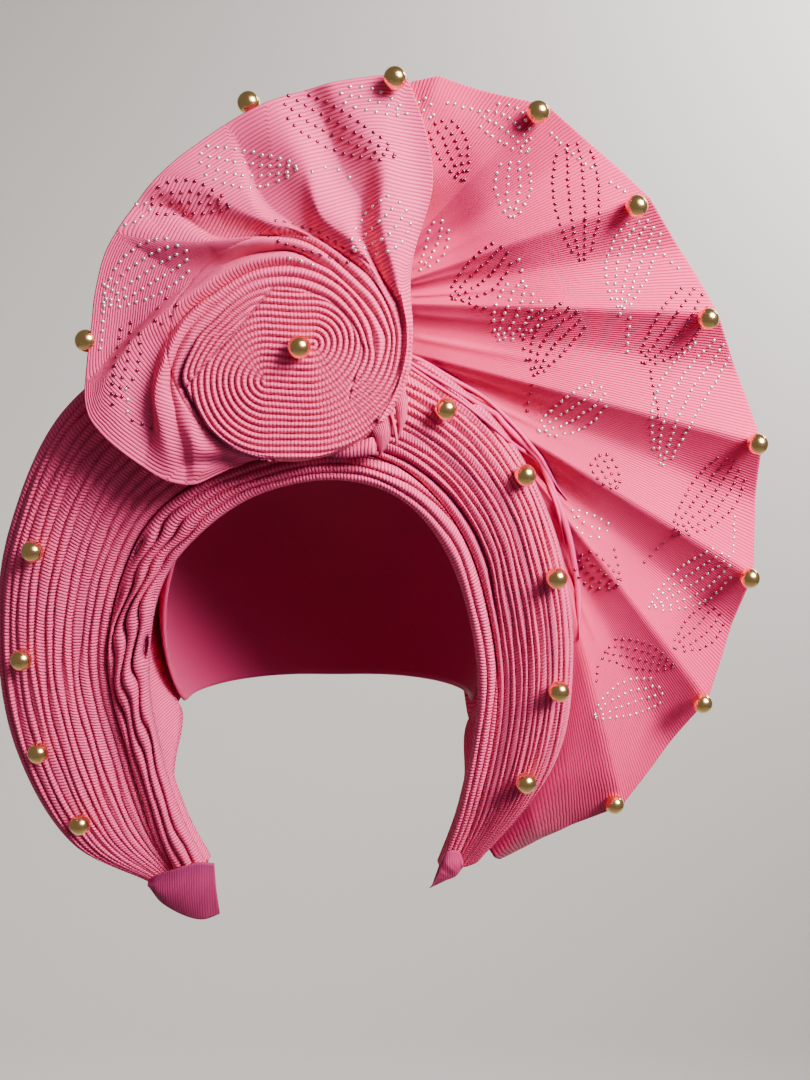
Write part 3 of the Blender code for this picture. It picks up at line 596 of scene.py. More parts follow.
def brim_piece(material):
    """The brim: rolled pleats are a rounded |sin| of the place across, whose rows widen, narrow
    and wander a little along the arch. The last one turns over into the plain back."""
    at = np.linspace(0, LAST_SECTION, BRIM_ALONG)
    face = np.linspace(0, 1, BRIM_ACROSS)
    place = np.concatenate([face, 1 + np.linspace(0, 1, BRIM_BEHIND)[1:]])
    sheet, front, size = brim_base(at, place)
    q = np.clip(place, 0, 1)[None, :]
    gap = read_table(BRIM_GAP, at)[:, None]
    rows = np.where(q < gap, q / gap, 1 + (BRIM_PLEATS - 1) * (q - gap) / (1 - gap))
    wander = 0.2 * ruffle(at[:, None] * 22 + 0.55 * rows, 3, 2)
    wander = wander + 0.2 * ruffle(at[:, None] * 10 - 1.3 * rows, 4, 2)
    edge = smooth_step(0.6, 2, rows) * smooth_step(BRIM_PLEATS, BRIM_PLEATS - 1.5, rows)
    phase = np.clip(rows + wander * edge, 0, BRIM_PLEATS)
    pleated = (place[None, :] <= 1).astype(float)
    number = np.minimum(np.floor(phase), BRIM_PLEATS - 1)
    # Some pleats lie lower than their neighbours for a while.
    low = smooth_step(0.1, 0.8, ruffle(at[:, None] * 9 + number * 2.7, 5, 2))
    rolls = rolled(phase)
    height = BRIM_ROLL * rolls * pleated * (1 - 0.35 * low)
    # The gap beside the face folds is deep on the right.
    beside = np.exp(-((phase - 1) / 0.30) ** 2) * read_table(GAP_OPENS, at)[:, None]
    height = height - GAP_DEPTH * beside * pleated
    grid = sheet + front[:, None] * (height * size[:, None])[..., None]
    # Painted shade: the pleats' valleys, the lower-lying pleats and the gap beside the face folds
    # are painted darker, and a painted shadow lies along the brim's edge under the folds beside the
    # fan.
    painted_fold_shadow = smooth_step(0.95, 0.99, q) * read_table(FOLD_PAINTED_SHADOW, at)[:, None]
    painted_shade = ((1 - rolls) ** 1.6 * 0.32 + 0.12 * low + 0.6 * beside) * pleated + 0.4 * painted_fold_shadow
    coarse = np.concatenate([np.linspace(0, 1, 7), 1 + np.linspace(0, 1, 8)[1:]])
    under, under_front, _ = brim_base(np.linspace(0, LAST_SECTION, 90), coarse)
    ahead = np.zeros_like(under)
    ahead[:, 1:4] = under_front[:, None]
    back = under - grid_normals(under, ahead) * CLOTH_WALL
    middle = brim_base(at, np.array([0.5]))[0][:, 0]
    slant = 0.7 * (phase - number) * np.sign(np.sin(number * 2.4))
    run = lengths_along(middle)[:, None] + slant
    side = lengths_along(sheet[at.size // 2])
    uv = np.stack(np.broadcast_arrays(run, side[None, :]), axis=-1)
    return walled("brim_cloth", grid, back, material, uv, painted_shade=np.clip(painted_shade, 0, 1))


# How many rolled folds lie between the hem and the brim, by place round the arch.
BAND_FOLDS = ((0.0, 3.0), (0.10, 4.0), (0.48, 4.0), (0.60, 3.0), (0.68, 2.0), (0.80, 2.0),
              (0.90, 3.0), (1.0, 3.0))
BAND_ROLL = 3.0
BAND_SWELL = 0.16
# The folds are loose round this place on the left temple, with slits as deep as this.
LOOSE_PLACE = 0.285
LOOSE_SPREAD = 0.12
SLIT_DEPTH = 3.0
HEM_WIDTH = 26.0
HEM_LOW_SHARE = 0.45
HEM_BOW = 4.0
# The band's grid: along the arch, over the hem, and across the folds.
BAND_ALONG, BAND_HEM, BAND_ACROSS = 700, 8, 64


def band_piece(material):
    """The folded cloth round the face: a hem from the cap to the rim, then rolled folds. Over
    the left temple they are loose, weave to and fro and leave deep slits between them."""
    at = np.linspace(0, LAST_SECTION, BAND_ALONG)
    rim, valley, _ = arch(at)
    across, front = arch_frame(rim, valley)
    width = np.linalg.norm(valley - rim, axis=-1)
    behind = -FORWARDS * HEM_WIDTH
    hem = reach_in(rim + behind, rim + behind * HEM_LOW_SHARE)
    loose = np.exp(-((at - LOOSE_PLACE) / LOOSE_SPREAD) ** 2)

    def base(at_place, rows):
        """The band without its rolls: from -1 to 0 the hem, bowed outwards by a sine, and from
        0 to 1 the folded part, swelling forwards by a sine."""
        hem_part = hem[rows, None] + (rim - hem)[rows, None] * (at_place + 1)[None, :, None]
        bow = HEM_BOW * np.sin(math.pi * np.clip(at_place + 1, 0, 1))[None, :, None]
        hem_part = hem_part + unit(hem_part - HEAD_CENTRE) * bow
        q = np.clip(at_place, 0, 1)[None, :, None]
        swell = BAND_SWELL * width[rows, None, None] * np.sin(math.pi * q) * front[rows, None]
        end = (valley - across * GAP / 2)[rows]
        fold_part = rim[rows, None] + (end - rim[rows])[:, None] * q + swell
        return np.where(at_place[None, :, None] < 0, hem_part, fold_part)

    place = np.concatenate([np.linspace(-1, 0, BAND_HEM)[:-1], np.linspace(0, 1, BAND_ACROSS)])
    sheet = base(place, slice(None))
    q = np.clip(place, 0, 1)[None, :]
    count = read_table(BAND_FOLDS, at)[:, None]
    folds = count * q
    # The rows sway sideways and rise and fall where the cloth is loose.
    sway = loose[:, None] * 0.85 * ruffle(at[:, None] * 34 + 0.5 * folds, 11, 2)
    sway = sway + 0.12 * ruffle(at[:, None] * 24 + 0.6 * folds, 13, 2)
    inside = smooth_step(0, 0.6, folds) * smooth_step(0, 0.6, count - folds)
    phase = folds + sway * inside
    number = np.floor(phase)
    high = 1 + loose[:, None] * 0.5 * ruffle(at[:, None] * 30 + 2.3 * number, 14, 2)
    narrow = np.clip(width / 14, 0.5, 1.0)[:, None]
    shown = (place[None, :] >= 0).astype(float)
    rolls = rolled(phase)
    height = BAND_ROLL * rolls * narrow * high * shown
    slit = smooth_step(0.78, 0.25, rolls) * smooth_step(-0.2, 0.6, ruffle(
        at[:, None] * 34 + 2.9 * np.round(phase), 15, 2)) * loose[:, None] * inside
    height = height - SLIT_DEPTH * slit * shown
    grid = sheet + front[:, None] * height[..., None]
    # Painted shade: the valleys between the rolls are painted darker, more so where the folds are
    # loose, and the slits are painted darker still.
    painted_shade = (1 - rolls) ** 1.8 * (0.4 + 0.5 * loose[:, None]) + 0.75 * slit
    painted_shade = np.clip(painted_shade * shown, 0, 1)
    rows = every_few(at.size, 100)
    coarse = np.array([-1.0, -0.6, -0.25, 0.0, 0.33, 0.66, 1.0])
    under = base(coarse, rows)
    ahead = np.zeros_like(under)
    ahead[:, -2] = front[rows]
    back = under - grid_normals(under, ahead) * CLOTH_WALL
    slant = (0.5 + 1.2 * loose[:, None]) * (phase - number)
    run = lengths_along(0.5 * (rim + valley))[:, None] + slant
    uv = np.stack(np.broadcast_arrays(run, (place * 16)[None, :]), axis=-1)
    return walled("face_band_cloth", grid, back, material, uv, painted_shade=painted_shade)


# The rosette: the knot and the frill

ROSETTE = np.array([-11.0, 21.0])
KNOT_HALVES = np.array([50.5, 46.5])
KNOT_BACK = -81.2
COIL_LEVEL = -93.0
ROW_PITCH = 2.6
ROW_RELIEF = 1.9
# The rows turn round a right and a left loop, whose middles lie this far across and up.
RIGHT_LOOP = np.array([-1.2, 22.6])
LEFT_LOOP = np.array([-19.2, 7.0])
RIGHT_LOOP_PITCH = 2.43
# The rows from the loops end at this line, where the outer coils stand over them.
CUT_START = np.array([-42.0, 17.0])
CUT_END = np.array([-14.0, 47.5])
CUT_STEP = 0.9
# A small hollow is pinched into the frill's lower left: its middle, its half sizes, how much it
# slants, and its depth.
PINCH = np.array([-41.5, -25.0])
PINCH_HALVES = (11.0, 2.6)
PINCH_SLANT = 0.12
PINCH_DEPTH = 3.2
FOLD_DEPTH = 0.9
COIL_RADIUS = 40.0
# The rows near the middle wander this far, over these lengths and from these phases.
ROW_WANDER = 0.55
WANDER_LENGTHS = (6.1, 7.3)
WANDER_PHASES = (0.4, 2.0)
# On the left, between these turns, the frill comes to start this far below the knot.
STEP_TURNS = (172.0, 200.0)
STEP_DOWN = 2.4
# How far from the rosette's middle the frill starts to open towards its rim.
OPENS_FROM = 46.0
# How far the rosette's dome rises, by a square law over this reach from its middle.
DOME_RISE = 1.8
DOME_REACH = 48.0
# The knot's border dips under the frill and the frill's under the knot, but not between these
# turns, where the knot's own edge shows and falls back.
BORDER_DIP = 1.8
BARE_TURNS = (-98.0, -38.0)
BARE_FALL = 7.0
# The frill's fold lines are traced between these turns, in degrees anticlockwise from +X.
FIRST_TURN, LAST_TURN = -40.0, 320.0

# One row for each fold line, from the outside in. Valleys and crests take turns. Each starts
# under the pinched ends, runs round the knot as one of its coils, and leaves it for the rim:
# its height half way and at the rim, and its path across and up, which goes on past the rim.
FoldLine = namedtuple("FoldLine", "high far path")
FREE_EDGE = FoldLine(-2.0, -1.0, (
    (26.3, -10.5), (34.4, 4.2), (38.9, 19.3), (39.8, 29), (38.9, 41.5), (38.9, 49.5),
    (40.5, 59.9), (43.4, 69.8), (46.6, 80.1), (47.8, 89.6), (46.1, 102.6), (42.9, 115.1),
    (39.3, 124.8), (37.7, 129.5)))
FOLD_LINES = (
    FREE_EDGE,
    FoldLine(5.0, 2.0, (
        (25.5, -9.9), (36.5, 15.3), (37.7, 23.8), (36.9, 31.4), (34.5, 41.5), (33.3, 49.5),
        (30.8, 58.3), (28.8, 66.2), (27.6, 75), (28.4, 84.8), (28.5, 92.7), (25.7, 102.6),
        (19.3, 112.7), (13.3, 120.1), (7.3, 127.5), (0.6, 135.7))),
    FoldLine(-4.5, -2.5, (
        (24.6, -9.1), (32.8, 8.8), (35.3, 23.8), (34.1, 35.9), (31.6, 41.5), (28.4, 46.3),
        (25.6, 51.9), (23.1, 56.7), (20.7, 62.3), (18.7, 67.4), (18.7, 75), (18.4, 80.9),
        (15.2, 86), (11.2, 92.7), (8, 100.2), (5.2, 107.6), (2.1, 115.1), (-1.1, 120.1),
        (-4.3, 124.8), (-9.4, 133))),
    FoldLine(3.5, 1.5, (
        (23.7, -8.3), (31.6, 9.2), (34.1, 23.8), (32.4, 33.9), (28.4, 41.5), (24.3, 48.7),
        (21.1, 55.1), (17.5, 61.1), (13.1, 65.8), (7, 70.2), (2.6, 75), (-0.2, 82.5),
        (-3.3, 92.7), (-7.7, 100.2), (-12, 107.3), (-15.6, 112.7), (-20.7, 119.8),
        (-26.2, 127.9))),
    FoldLine(-4.5, -1.5, (
        (22.8, -7.6), (30.4, 10), (32.8, 23.8), (31.2, 33), (28.4, 40.3), (24.7, 46.7),
        (20.7, 51.1), (15, 55.5), (9.4, 59.5), (2.9, 63.8), (-4.3, 68.2), (-11.1, 72.6),
        (-17.9, 77.7), (-22.7, 84.1), (-27.4, 93.9), (-31.3, 103.7), (-36.8, 111.2),
        (-43.1, 120.1))),
    FoldLine(3.0, 2.0, (
        (21.9, -6.8), (29.6, 10.4), (32, 23.8), (30, 33), (26.4, 40.7), (21.5, 46.7),
        (15, 53.1), (4.9, 60.7), (-3.1, 65.4), (-9.6, 68.2), (-16.8, 70.2), (-24, 73.4),
        (-31.7, 77.3), (-38.9, 81.3), (-44.8, 85.6), (-52, 88.8), (-60.1, 89.2),
        (-66.5, 87.6), (-76.3, 85.2))),
    FoldLine(-3.5, -0.5, (
        (21, -6.1), (28.3, 10.8), (31, 23.8), (28.8, 33), (24.3, 41.1), (18.7, 46.7),
        (12.2, 52.7), (4.9, 58.7), (-1.9, 62.7), (-7.6, 64.6), (-13.2, 65.4), (-20.9, 65.8),
        (-28.6, 65.4), (-37.1, 65), (-44.7, 67.8), (-52.3, 73), (-61.5, 77.7),
        (-70.4, 78.1), (-79.3, 76.9))),
    FoldLine(4.0, 2.0, (
        (20.1, -5.3), (27.3, 12.1), (30, 23.8), (27.1, 33), (22.7, 40.3), (16.2, 46.7),
        (9.4, 52.7), (4.5, 57.1), (-1.5, 60.7), (-9.2, 63.4), (-15.6, 64.2), (-26.2, 64.2),
        (-37.1, 63.4), (-47.2, 62.9), (-57.7, 63.4), (-67.8, 64.2), (-75.8, 65.8),
        (-81.9, 67.4), (-90.7, 69))),
    FoldLine(-4.5, -1.5, (
        (19.2, -4.6), (26.3, 12.9), (28.8, 23.8), (25.9, 31.4), (22.3, 36.7), (18.2, 41.5),
        (13, 46.7), (6.9, 51.9), (0.5, 55.1), (-4.4, 57.9), (-10.8, 59.9), (-18.5, 59.5),
        (-26.6, 58.3), (-34.8, 55.5), (-40.9, 53.1), (-47.4, 49.9), (-55.6, 44.3),
        (-63, 39.1), (-69.2, 33), (-76.2, 26.6), (-82.9, 19.3), (-88.8, 12.1), (-93.8, 7.6),
        (-104.6, 0.7))),
    FoldLine(3.0, 1.0, (
        (18.3, -3.8), (25.1, 13.7), (26.5, 23.8), (23.7, 31.4), (20, 37.5), (15.8, 42.5),
        (10.5, 47.3), (4.9, 51.3), (-1.2, 54.3), (-6, 56.1), (-10.9, 56.9), (-18.1, 56.5),
        (-26.3, 54.7), (-33.6, 52.1), (-39.7, 48.9), (-45.9, 44.7), (-54.5, 39.1),
        (-63.5, 32.6), (-71.4, 25.8), (-78, 18.1), (-82.7, 11.7), (-85.6, 6), (-87, -0.1),
        (-89.3, -11.5), (-93.7, -22.6))),
    FoldLine(-4.5, -0.6, (
        (17.5, -3.1), (23.9, 14.5), (23.5, 23.8), (22.3, 30.2), (18.6, 36.7), (14, 42.5),
        (9.3, 46.7), (3.7, 50.1), (-2.4, 52.5), (-6.8, 53.5), (-10.9, 53.9), (-18.2, 53.3),
        (-25.5, 51.5), (-32, 48.5), (-37.7, 45.1), (-42.2, 42.1), (-47.6, 38.7),
        (-54.6, 32.2), (-58.3, 27.8), (-62.5, 23), (-65.9, 14.5), (-68.1, 4.3),
        (-67.8, -3.4), (-68, -12.4), (-72, -27.1), (-76, -41.1))),
    FoldLine(1.6, 0.6, (
        (16.6, -2.4), (22.6, 15.3), (22.2, 23.8), (20.4, 30), (17.2, 35.9), (13, 41.3),
        (8.5, 45.3), (3.1, 48.5), (-2.8, 50.7), (-7.3, 51.5), (-10.9, 51.7), (-17.8, 51.1),
        (-24.7, 49.5), (-30.8, 46.9), (-36.1, 43.9), (-40.6, 40.5), (-45.6, 37.5),
        (-52.1, 31.4), (-55.9, 25), (-61, 14.5), (-64, 6.8), (-64.9, -0.9), (-63.1, -10.3),
        (-62, -18.5), (-61.7, -26.7), (-62.2, -33.7), (-64.5, -45.3))),
    FoldLine(-1.6, -0.2, (
        (15.7, -1.6), (21.6, 16.1), (20.8, 23.8), (18.8, 29.6), (15.8, 34.9), (11.7, 39.9),
        (7.5, 43.7), (2.4, 46.7), (-3, 48.7), (-7.3, 49.5), (-10.9, 49.7), (-17.4, 49.1),
        (-23.9, 47.5), (-29.8, 45.1), (-34.9, 42.1), (-39, 39.1), (-43.5, 35.9),
        (-49.7, 29.8), (-53.5, 24.2), (-56.4, 18.5), (-58.6, 11.7), (-59.1, 4.3),
        (-57.6, -3.4), (-56.5, -11.5), (-55, -18.5), (-54.3, -25.5), (-54.9, -35.4),
        (-56.3, -47.3))),
    FoldLine(1.0, 0.2, (
        (14.7, -0.8), (20.6, 16.9), (19.6, 23.8), (17.6, 29), (14.6, 34.1), (10.9, 38.5),
        (6.9, 42.1), (1.8, 44.9), (-3.2, 46.7), (-7.3, 47.5), (-10.9, 47.7), (-17, 47.1),
        (-23.3, 45.5), (-28.8, 43.3), (-33.7, 40.5), (-37.8, 37.5), (-41.9, 33.9),
        (-48.1, 28.2), (-51.5, 22.6), (-54.8, 16.1), (-56.6, 10), (-55.1, 2.7),
        (-51.9, -5.4), (-50.4, -12.4), (-50.1, -20.6), (-50.6, -27.9), (-51.6, -35.4),
        (-53, -47.3))),
    FoldLine(-1.5, -0.3, (
        (13.9, -0.1), (19.4, 17.7), (18.4, 23.8), (16.4, 28.6), (13.5, 33.3), (10.1, 37.1),
        (6.3, 40.5), (1.4, 43.1), (-3.5, 44.9), (-7.3, 45.5), (-11, 45.7), (-16.6, 45.1),
        (-22.7, 43.5), (-28, 41.3), (-32.7, 38.5), (-36.6, 35.7), (-40.3, 32.2),
        (-46.5, 26.2), (-49.9, 20.6), (-52.8, 14.5), (-54.1, 9.2), (-53, 4.3), (-51, 0.3),
        (-47.4, -6.2), (-43.4, -12.4), (-35.7, -19.3), (-27.6, -23), (-22.2, -24.7),
        (-16.5, -27.1), (-10.8, -32.9))),
)
FRILL_RIM = (
    (37.7, 129.5), (30.5, 130.3), (24.5, 129.9), (14.5, 128.3), (4.5, 126.4), (-5.5, 124),
    (-15.5, 120.5), (-25.6, 116.2), (-35.7, 110.8), (-45.8, 103.7), (-55.9, 95.9),
    (-66.2, 86), (-73.6, 76.9), (-80.7, 66.2), (-84.9, 58.3), (-87.5, 50.3), (-89.8, 40.3),
    (-91.2, 30.2), (-93.1, 18.1), (-94.6, 6), (-94.8, -0.9), (-92.9, -7.9), (-87.7, -14.8),
    (-80.1, -21.8), (-69.6, -29.6), (-63.1, -33.3), (-57.7, -34.9), (-53.2, -35.4),
    (-48.7, -34.5), (-40.8, -30.8), (-33, -27.5), (-25.1, -25.1), (-17.3, -24.2))
# Where the frill's outline lies along Y, by turn.
EDGE_DEPTH = ((-40, -91), (20, -91), (40, -90), (55, -87), (66, -84), (90, -86), (110, -88),
              (140, -90), (190, -90), (215, -87), (235, -84), (262, -82))
FRILL_TURNS = (-38.0, 262.0)
# How many rows and columns the knot's and the frill's fine and coarse grids have.
KNOT_FINE, KNOT_COARSE = 296, 22
FRILL_FINE, FRILL_COARSE = (620, 128), (90, 26)


def polar_path(path, turns):
    """How far a traced path lies from the rosette's middle at each turn, and how far along
    itself it has run there."""
    points = through(path, np.linspace(0, 1, 12 * len(path))) - ROSETTE
    turn = np.degrees(np.unwrap(np.arctan2(points[:, 1], points[:, 0])))
    turn = np.maximum.accumulate(turn) + 1e-6 * np.arange(turn.size)
    return (np.interp(turns, turn, np.linalg.norm(points, axis=-1)),
            np.interp(turns, turn, lengths_along(points)))


class FoldMap:
    """The fold lines by turn: how far out each lies, how far it has run in from the rim, where
    it meets the rim, and the outline."""

    def __init__(self):
        """Reads every traced line at the same turns."""
        self.turns = np.linspace(FIRST_TURN, LAST_TURN, 721)
        paths = [polar_path(line.path, self.turns) for line in FOLD_LINES]
        self.reach = np.array([p[0] for p in paths])
        length = np.array([p[1] for p in paths])
        corner = math.degrees(math.atan2(*(np.array(FRILL_RIM[0]) - ROSETTE)[::-1]))
        rim = polar_path(FRILL_RIM, self.turns)[0]
        on_rim = self.turns >= corner
        self.outline = np.where(on_rim, rim, self.reach[0])
        self.reach[0] = np.where(on_rim, 1000.0, self.reach[0])
        inside = self.reach <= self.outline + 1e-6
        last = np.array([np.flatnonzero(row)[-1] for row in inside])
        self.run = length[np.arange(len(last)), last][:, None] - length
        # At the rim the line number rises from the number of one line's end to the next's.
        self.rim_number = np.interp(self.turns, self.turns[last], np.arange(len(last)))
        self.high = np.array([line.high for line in FOLD_LINES])
        self.far = np.array([line.far for line in FOLD_LINES])

    def at(self, table, turn):
        """A table by turn, read at any turns."""
        share = np.clip((turn - FIRST_TURN) / (LAST_TURN - FIRST_TURN), 0, 1)
        place = share * (self.turns.size - 1)
        cell = np.minimum(place.astype(int), self.turns.size - 2)
        share = place - cell
        return table[..., cell] * (1 - share) + table[..., cell + 1] * share


def rounded(t, width):
    """A rise from a valley to a crest: nearly a quarter sine for narrow rows, which leaves a
    sharp valley, and a half cosine for wide folds."""
    sharp = np.sin(0.5 * math.pi * np.clip(t, 0, 1)) ** 0.75
    wide = smooth_step(5, 22, width) * 0.85
    return sharp * (1 - wide) + (0.5 - 0.5 * np.cos(math.pi * t)) * wide


def fold_rows(folds, turn, far):
    """Outside the innermost fold line: the row number, counted outwards to match the loops'
    rows, the height of the folds, the distance run from the rim, and the folds' width."""
    reach = folds.at(folds.reach, turn)
    outline = folds.at(folds.outline, turn)
    run = folds.at(folds.run, turn)
    count = len(reach)
    here = np.arange(far.size)
    inner = np.clip(count - (reach < far).sum(axis=0), 1, count - 1)
    reach_in, reach_out = reach[inner, here], reach[inner - 1, here]
    past_rim = reach_out > outline
    number_out = np.where(past_rim, folds.at(folds.rim_number, turn), inner - 1.0)
    number_out = np.clip(number_out, inner - 1.0, inner)
    gap = np.maximum(np.minimum(reach_out, outline) - reach_in, 1e-3)
    share = np.clip((far - reach_in) / gap, 0, 1)
    number = inner + (number_out - inner) * share
    run_out = np.where(past_rim, 0.0, run[inner - 1, here])
    run_here = run[inner, here] * (1 - share) + run_out * share
    # A fold's width is the distance between the lines on both sides of it.
    held = np.minimum(reach, outline)
    widths = np.concatenate([held[:1] - held[1:2], held[:-2] - held[2:], held[-2:-1] - held[-1:]])
    low = np.clip(np.floor(number).astype(int), 0, count - 2)
    t = number - low
    width = widths[low, here] * (1 - t) + widths[low + 1, here] * t
    valley_out = low % 2 == 0
    rise = rounded(np.where(valley_out, t, 1 - t), width)
    outwards = np.clip((far - OPENS_FROM) / np.maximum(outline - OPENS_FROM, 1), 0, 1)
    towards_rim = smooth_step(0.5, 1.0, outwards)[None, :]
    level = FOLD_DEPTH * (folds.high[:, None] * (1 - towards_rim)
                          + folds.far[:, None] * towards_rim)
    valley, crest = np.where(valley_out, low, low + 1), np.where(valley_out, low + 1, low)
    floor = level[valley, here]
    height = floor + (level[crest, here] - floor) * rise
    crest_run = np.where(reach[crest, here] > outline, run_here, run[crest, here])
    loose = smooth_step(4, 11, width)
    return (15.0 - 0.5 * number, height, crest_run + (run_here - crest_run) * loose, width,
            outwards)


def loop_rows(spot):
    """Inside the innermost fold line: the row number and the distance run. Rows are circles
    round the left loop, level between the loops, and ovals round the right one."""
    right, left = spot - RIGHT_LOOP, spot - LEFT_LOOP
    circled = np.hypot(right[:, 0] / RIGHT_LOOP_PITCH, right[:, 1] / ROW_PITCH)
    level = np.abs(right[:, 1]) / ROW_PITCH
    turned = np.hypot(left[:, 0], left[:, 1]) / ROW_PITCH
    on_right, on_left = right[:, 0] > 0, left[:, 0] < 0
    rows = np.where(on_right, circled, np.where(on_left, turned, level))
    middle = (np.floor(rows) + 0.5) * ROW_PITCH
    between = RIGHT_LOOP[0] - LEFT_LOOP[0]
    right_run = middle * (0.5 * math.pi - np.arctan2(np.abs(right[:, 1]), np.abs(right[:, 0])))
    left_run = middle * (0.5 * math.pi - np.arctan2(np.abs(left[:, 1]), np.abs(left[:, 0])))
    run = np.where(on_right, -right_run, np.where(on_left, between + left_run, -right[:, 0]))
    return rows, run


def rosette_at(folds, spot):
    """The rosette's surface over spots across and up: how far forward it lies, the distance
    run along its cloth, the row number, and how much painted shade darkens each spot."""
    shape = spot.shape[:-1]
    spot = spot.reshape(-1, 2)
    # The rows near the middle wander a little, by a sine of the place across them.
    near = smooth_step(36, 24, np.linalg.norm(spot - ROSETTE, axis=-1))[:, None]
    spot = spot + ROW_WANDER * np.sin(spot[:, ::-1] / WANDER_LENGTHS + WANDER_PHASES) * near
    flat = spot - ROSETTE
    far = np.linalg.norm(flat, axis=-1)
    turn = np.degrees(np.arctan2(flat[:, 1], flat[:, 0]))
    turn = np.where(turn < FIRST_TURN, turn + 360, turn)
    border = folds.at(folds.reach[-1], turn)
    rows, run = loop_rows(spot)
    fold_number, height, fold_run, width, outwards = fold_rows(folds, turn, far)
    # Beyond the cut the coils run beside the innermost fold line and stand a step higher.
    line = unit(CUT_END - CUT_START)
    past_cut = (spot - CUT_START) @ np.array([-line[1], line[0]])
    coil = (past_cut > 0) & (far < border)
    coil_rows = (border - far) / ROW_PITCH
    coil_run = np.radians(turn) * (COIL_RADIUS - np.floor(coil_rows) * ROW_PITCH)
    outside = far >= border
    # From the pinched ends on, the loops' rows turn into the fold lines' rows.
    joined = smooth_step(-40, -8, turn)
    mixed = rows * (1 - joined) + fold_number * joined
    number = np.where(outside, mixed, np.where(coil, coil_rows, rows))
    along = np.where(outside, fold_run, np.where(coil, coil_run, run))
    rolls = np.abs(np.sin(math.pi * number)) ** 0.75
    inside_border = np.where(outside | coil, 99.0, border - far)
    beside_cut = np.where(coil | outside, 99.0, -past_cut)
    # Rows that end under the next coil sink towards it instead of stopping short.
    sink = 1 - np.minimum(smooth_step(0, 1.6, inside_border), smooth_step(0, 1.6, beside_cut))
    coil_end = 0.5 * np.where(coil, smooth_step(1.8, 0, past_cut), 0.0)
    shaped = rolls * (1 - 0.8 * sink - coil_end)
    rows_height = ROW_RELIEF * (shaped - 0.5) * np.where(
        outside, 1.0, 1 + 0.18 * ruffle(np.floor(number) * 1.7 + 0.05 * along, 21))
    open_fold = np.where(outside, np.maximum(smooth_step(3.5, 9, width),
                                             smooth_step(0.25, 0.55, outwards)), 0.0)
    lift = rows_height * (1 - open_fold) + height * open_fold
    lift += np.where(coil, CUT_STEP * smooth_step(0, 1.4, past_cut), 0.0)
    aside, above = (spot - PINCH).T
    pinch = np.exp(-(aside / PINCH_HALVES[0]) ** 2
                   - ((above - PINCH_SLANT * aside) / PINCH_HALVES[1]) ** 2)
    lift -= PINCH_DEPTH * pinch * open_fold
    # The dome sinks a little to the knot's border, and the frill runs on from there.
    dome = COIL_LEVEL - DOME_RISE * (1 - np.clip(far / DOME_REACH, 0, 1) ** 2)
    edge = read_table(EDGE_DEPTH, turn)
    # On the left the frill starts a step below the knot.
    stepped = smooth_step(*STEP_TURNS, turn)
    below = STEP_DOWN * stepped * smooth_step(9, 0, far - border)
    base = np.where(outside, dome + (edge - dome) * smooth_step(0, 1, outwards) + below, dome)
    # Painted shade: in the rows' valleys, where rows sink under the next coil, in the frill's open
    # folds and its pinched hollow, and along the step where the frill starts below the knot on the
    # left.
    painted_shade = 0.38 * (1 - rolls) ** 1.5 * (1 - open_fold) * (1 - 0.5 * sink) + 0.3 * sink
    painted_shade += open_fold * (0.6 * np.clip(-height / 6, 0, 1) ** 1.4 + 0.5 * pinch)
    painted_shade += 0.6 * smooth_step(2.5, 0, np.abs(far - border)) * stepped
    return (*(part.reshape(shape) for part in (base - lift, along, number)),
            np.clip(painted_shade, 0, 1).reshape(shape))


def oval_reach(spot):
    """How far out a spot lies in the knot's oval: 0 in its middle and 1 on its edge."""
    return np.linalg.norm((spot - ROSETTE) / KNOT_HALVES, axis=-1)


def knot_piece(folds, material):
    """The knot: a square grid bent to an oval disc over the rosette's surface. Its border
    dips under the frill, which carries the same surface on."""
    def disc(count, size):
        """A square grid bent to the knot's oval at a size."""
        u, v = np.meshgrid(*[np.linspace(-1, 1, count)] * 2, indexing="ij")
        grid = np.stack([u * np.sqrt(1 - v * v / 2), v * np.sqrt(1 - u * u / 2)], axis=-1)
        return ROSETTE + grid * KNOT_HALVES * size

    spot = disc(KNOT_FINE, 1.0)
    y, run, number, painted_shade = rosette_at(folds, spot)
    turn = np.degrees(np.arctan2(*np.moveaxis(spot - ROSETTE, -1, 0)[::-1]))
    reach = oval_reach(spot)
    bare = (turn > BARE_TURNS[0]) & (turn < BARE_TURNS[1])
    dips = smooth_step(0.945, 1.0, reach) * np.where(bare, 0.0, BORDER_DIP)
    falls = np.where(bare, BARE_FALL * smooth_step(0.97, 1.0, reach), 0)
    front = np.stack([spot[..., 0], y + dips + falls, spot[..., 1]], axis=-1)
    flat = disc(KNOT_COARSE, 0.97)
    back = np.stack([flat[..., 0], np.full(flat.shape[:2], KNOT_BACK), flat[..., 1]], axis=-1)
    uv = np.stack([run, number * ROW_PITCH], axis=-1)
    return walled("coiled_knot", front, back, material, uv, painted_shade=painted_shade)


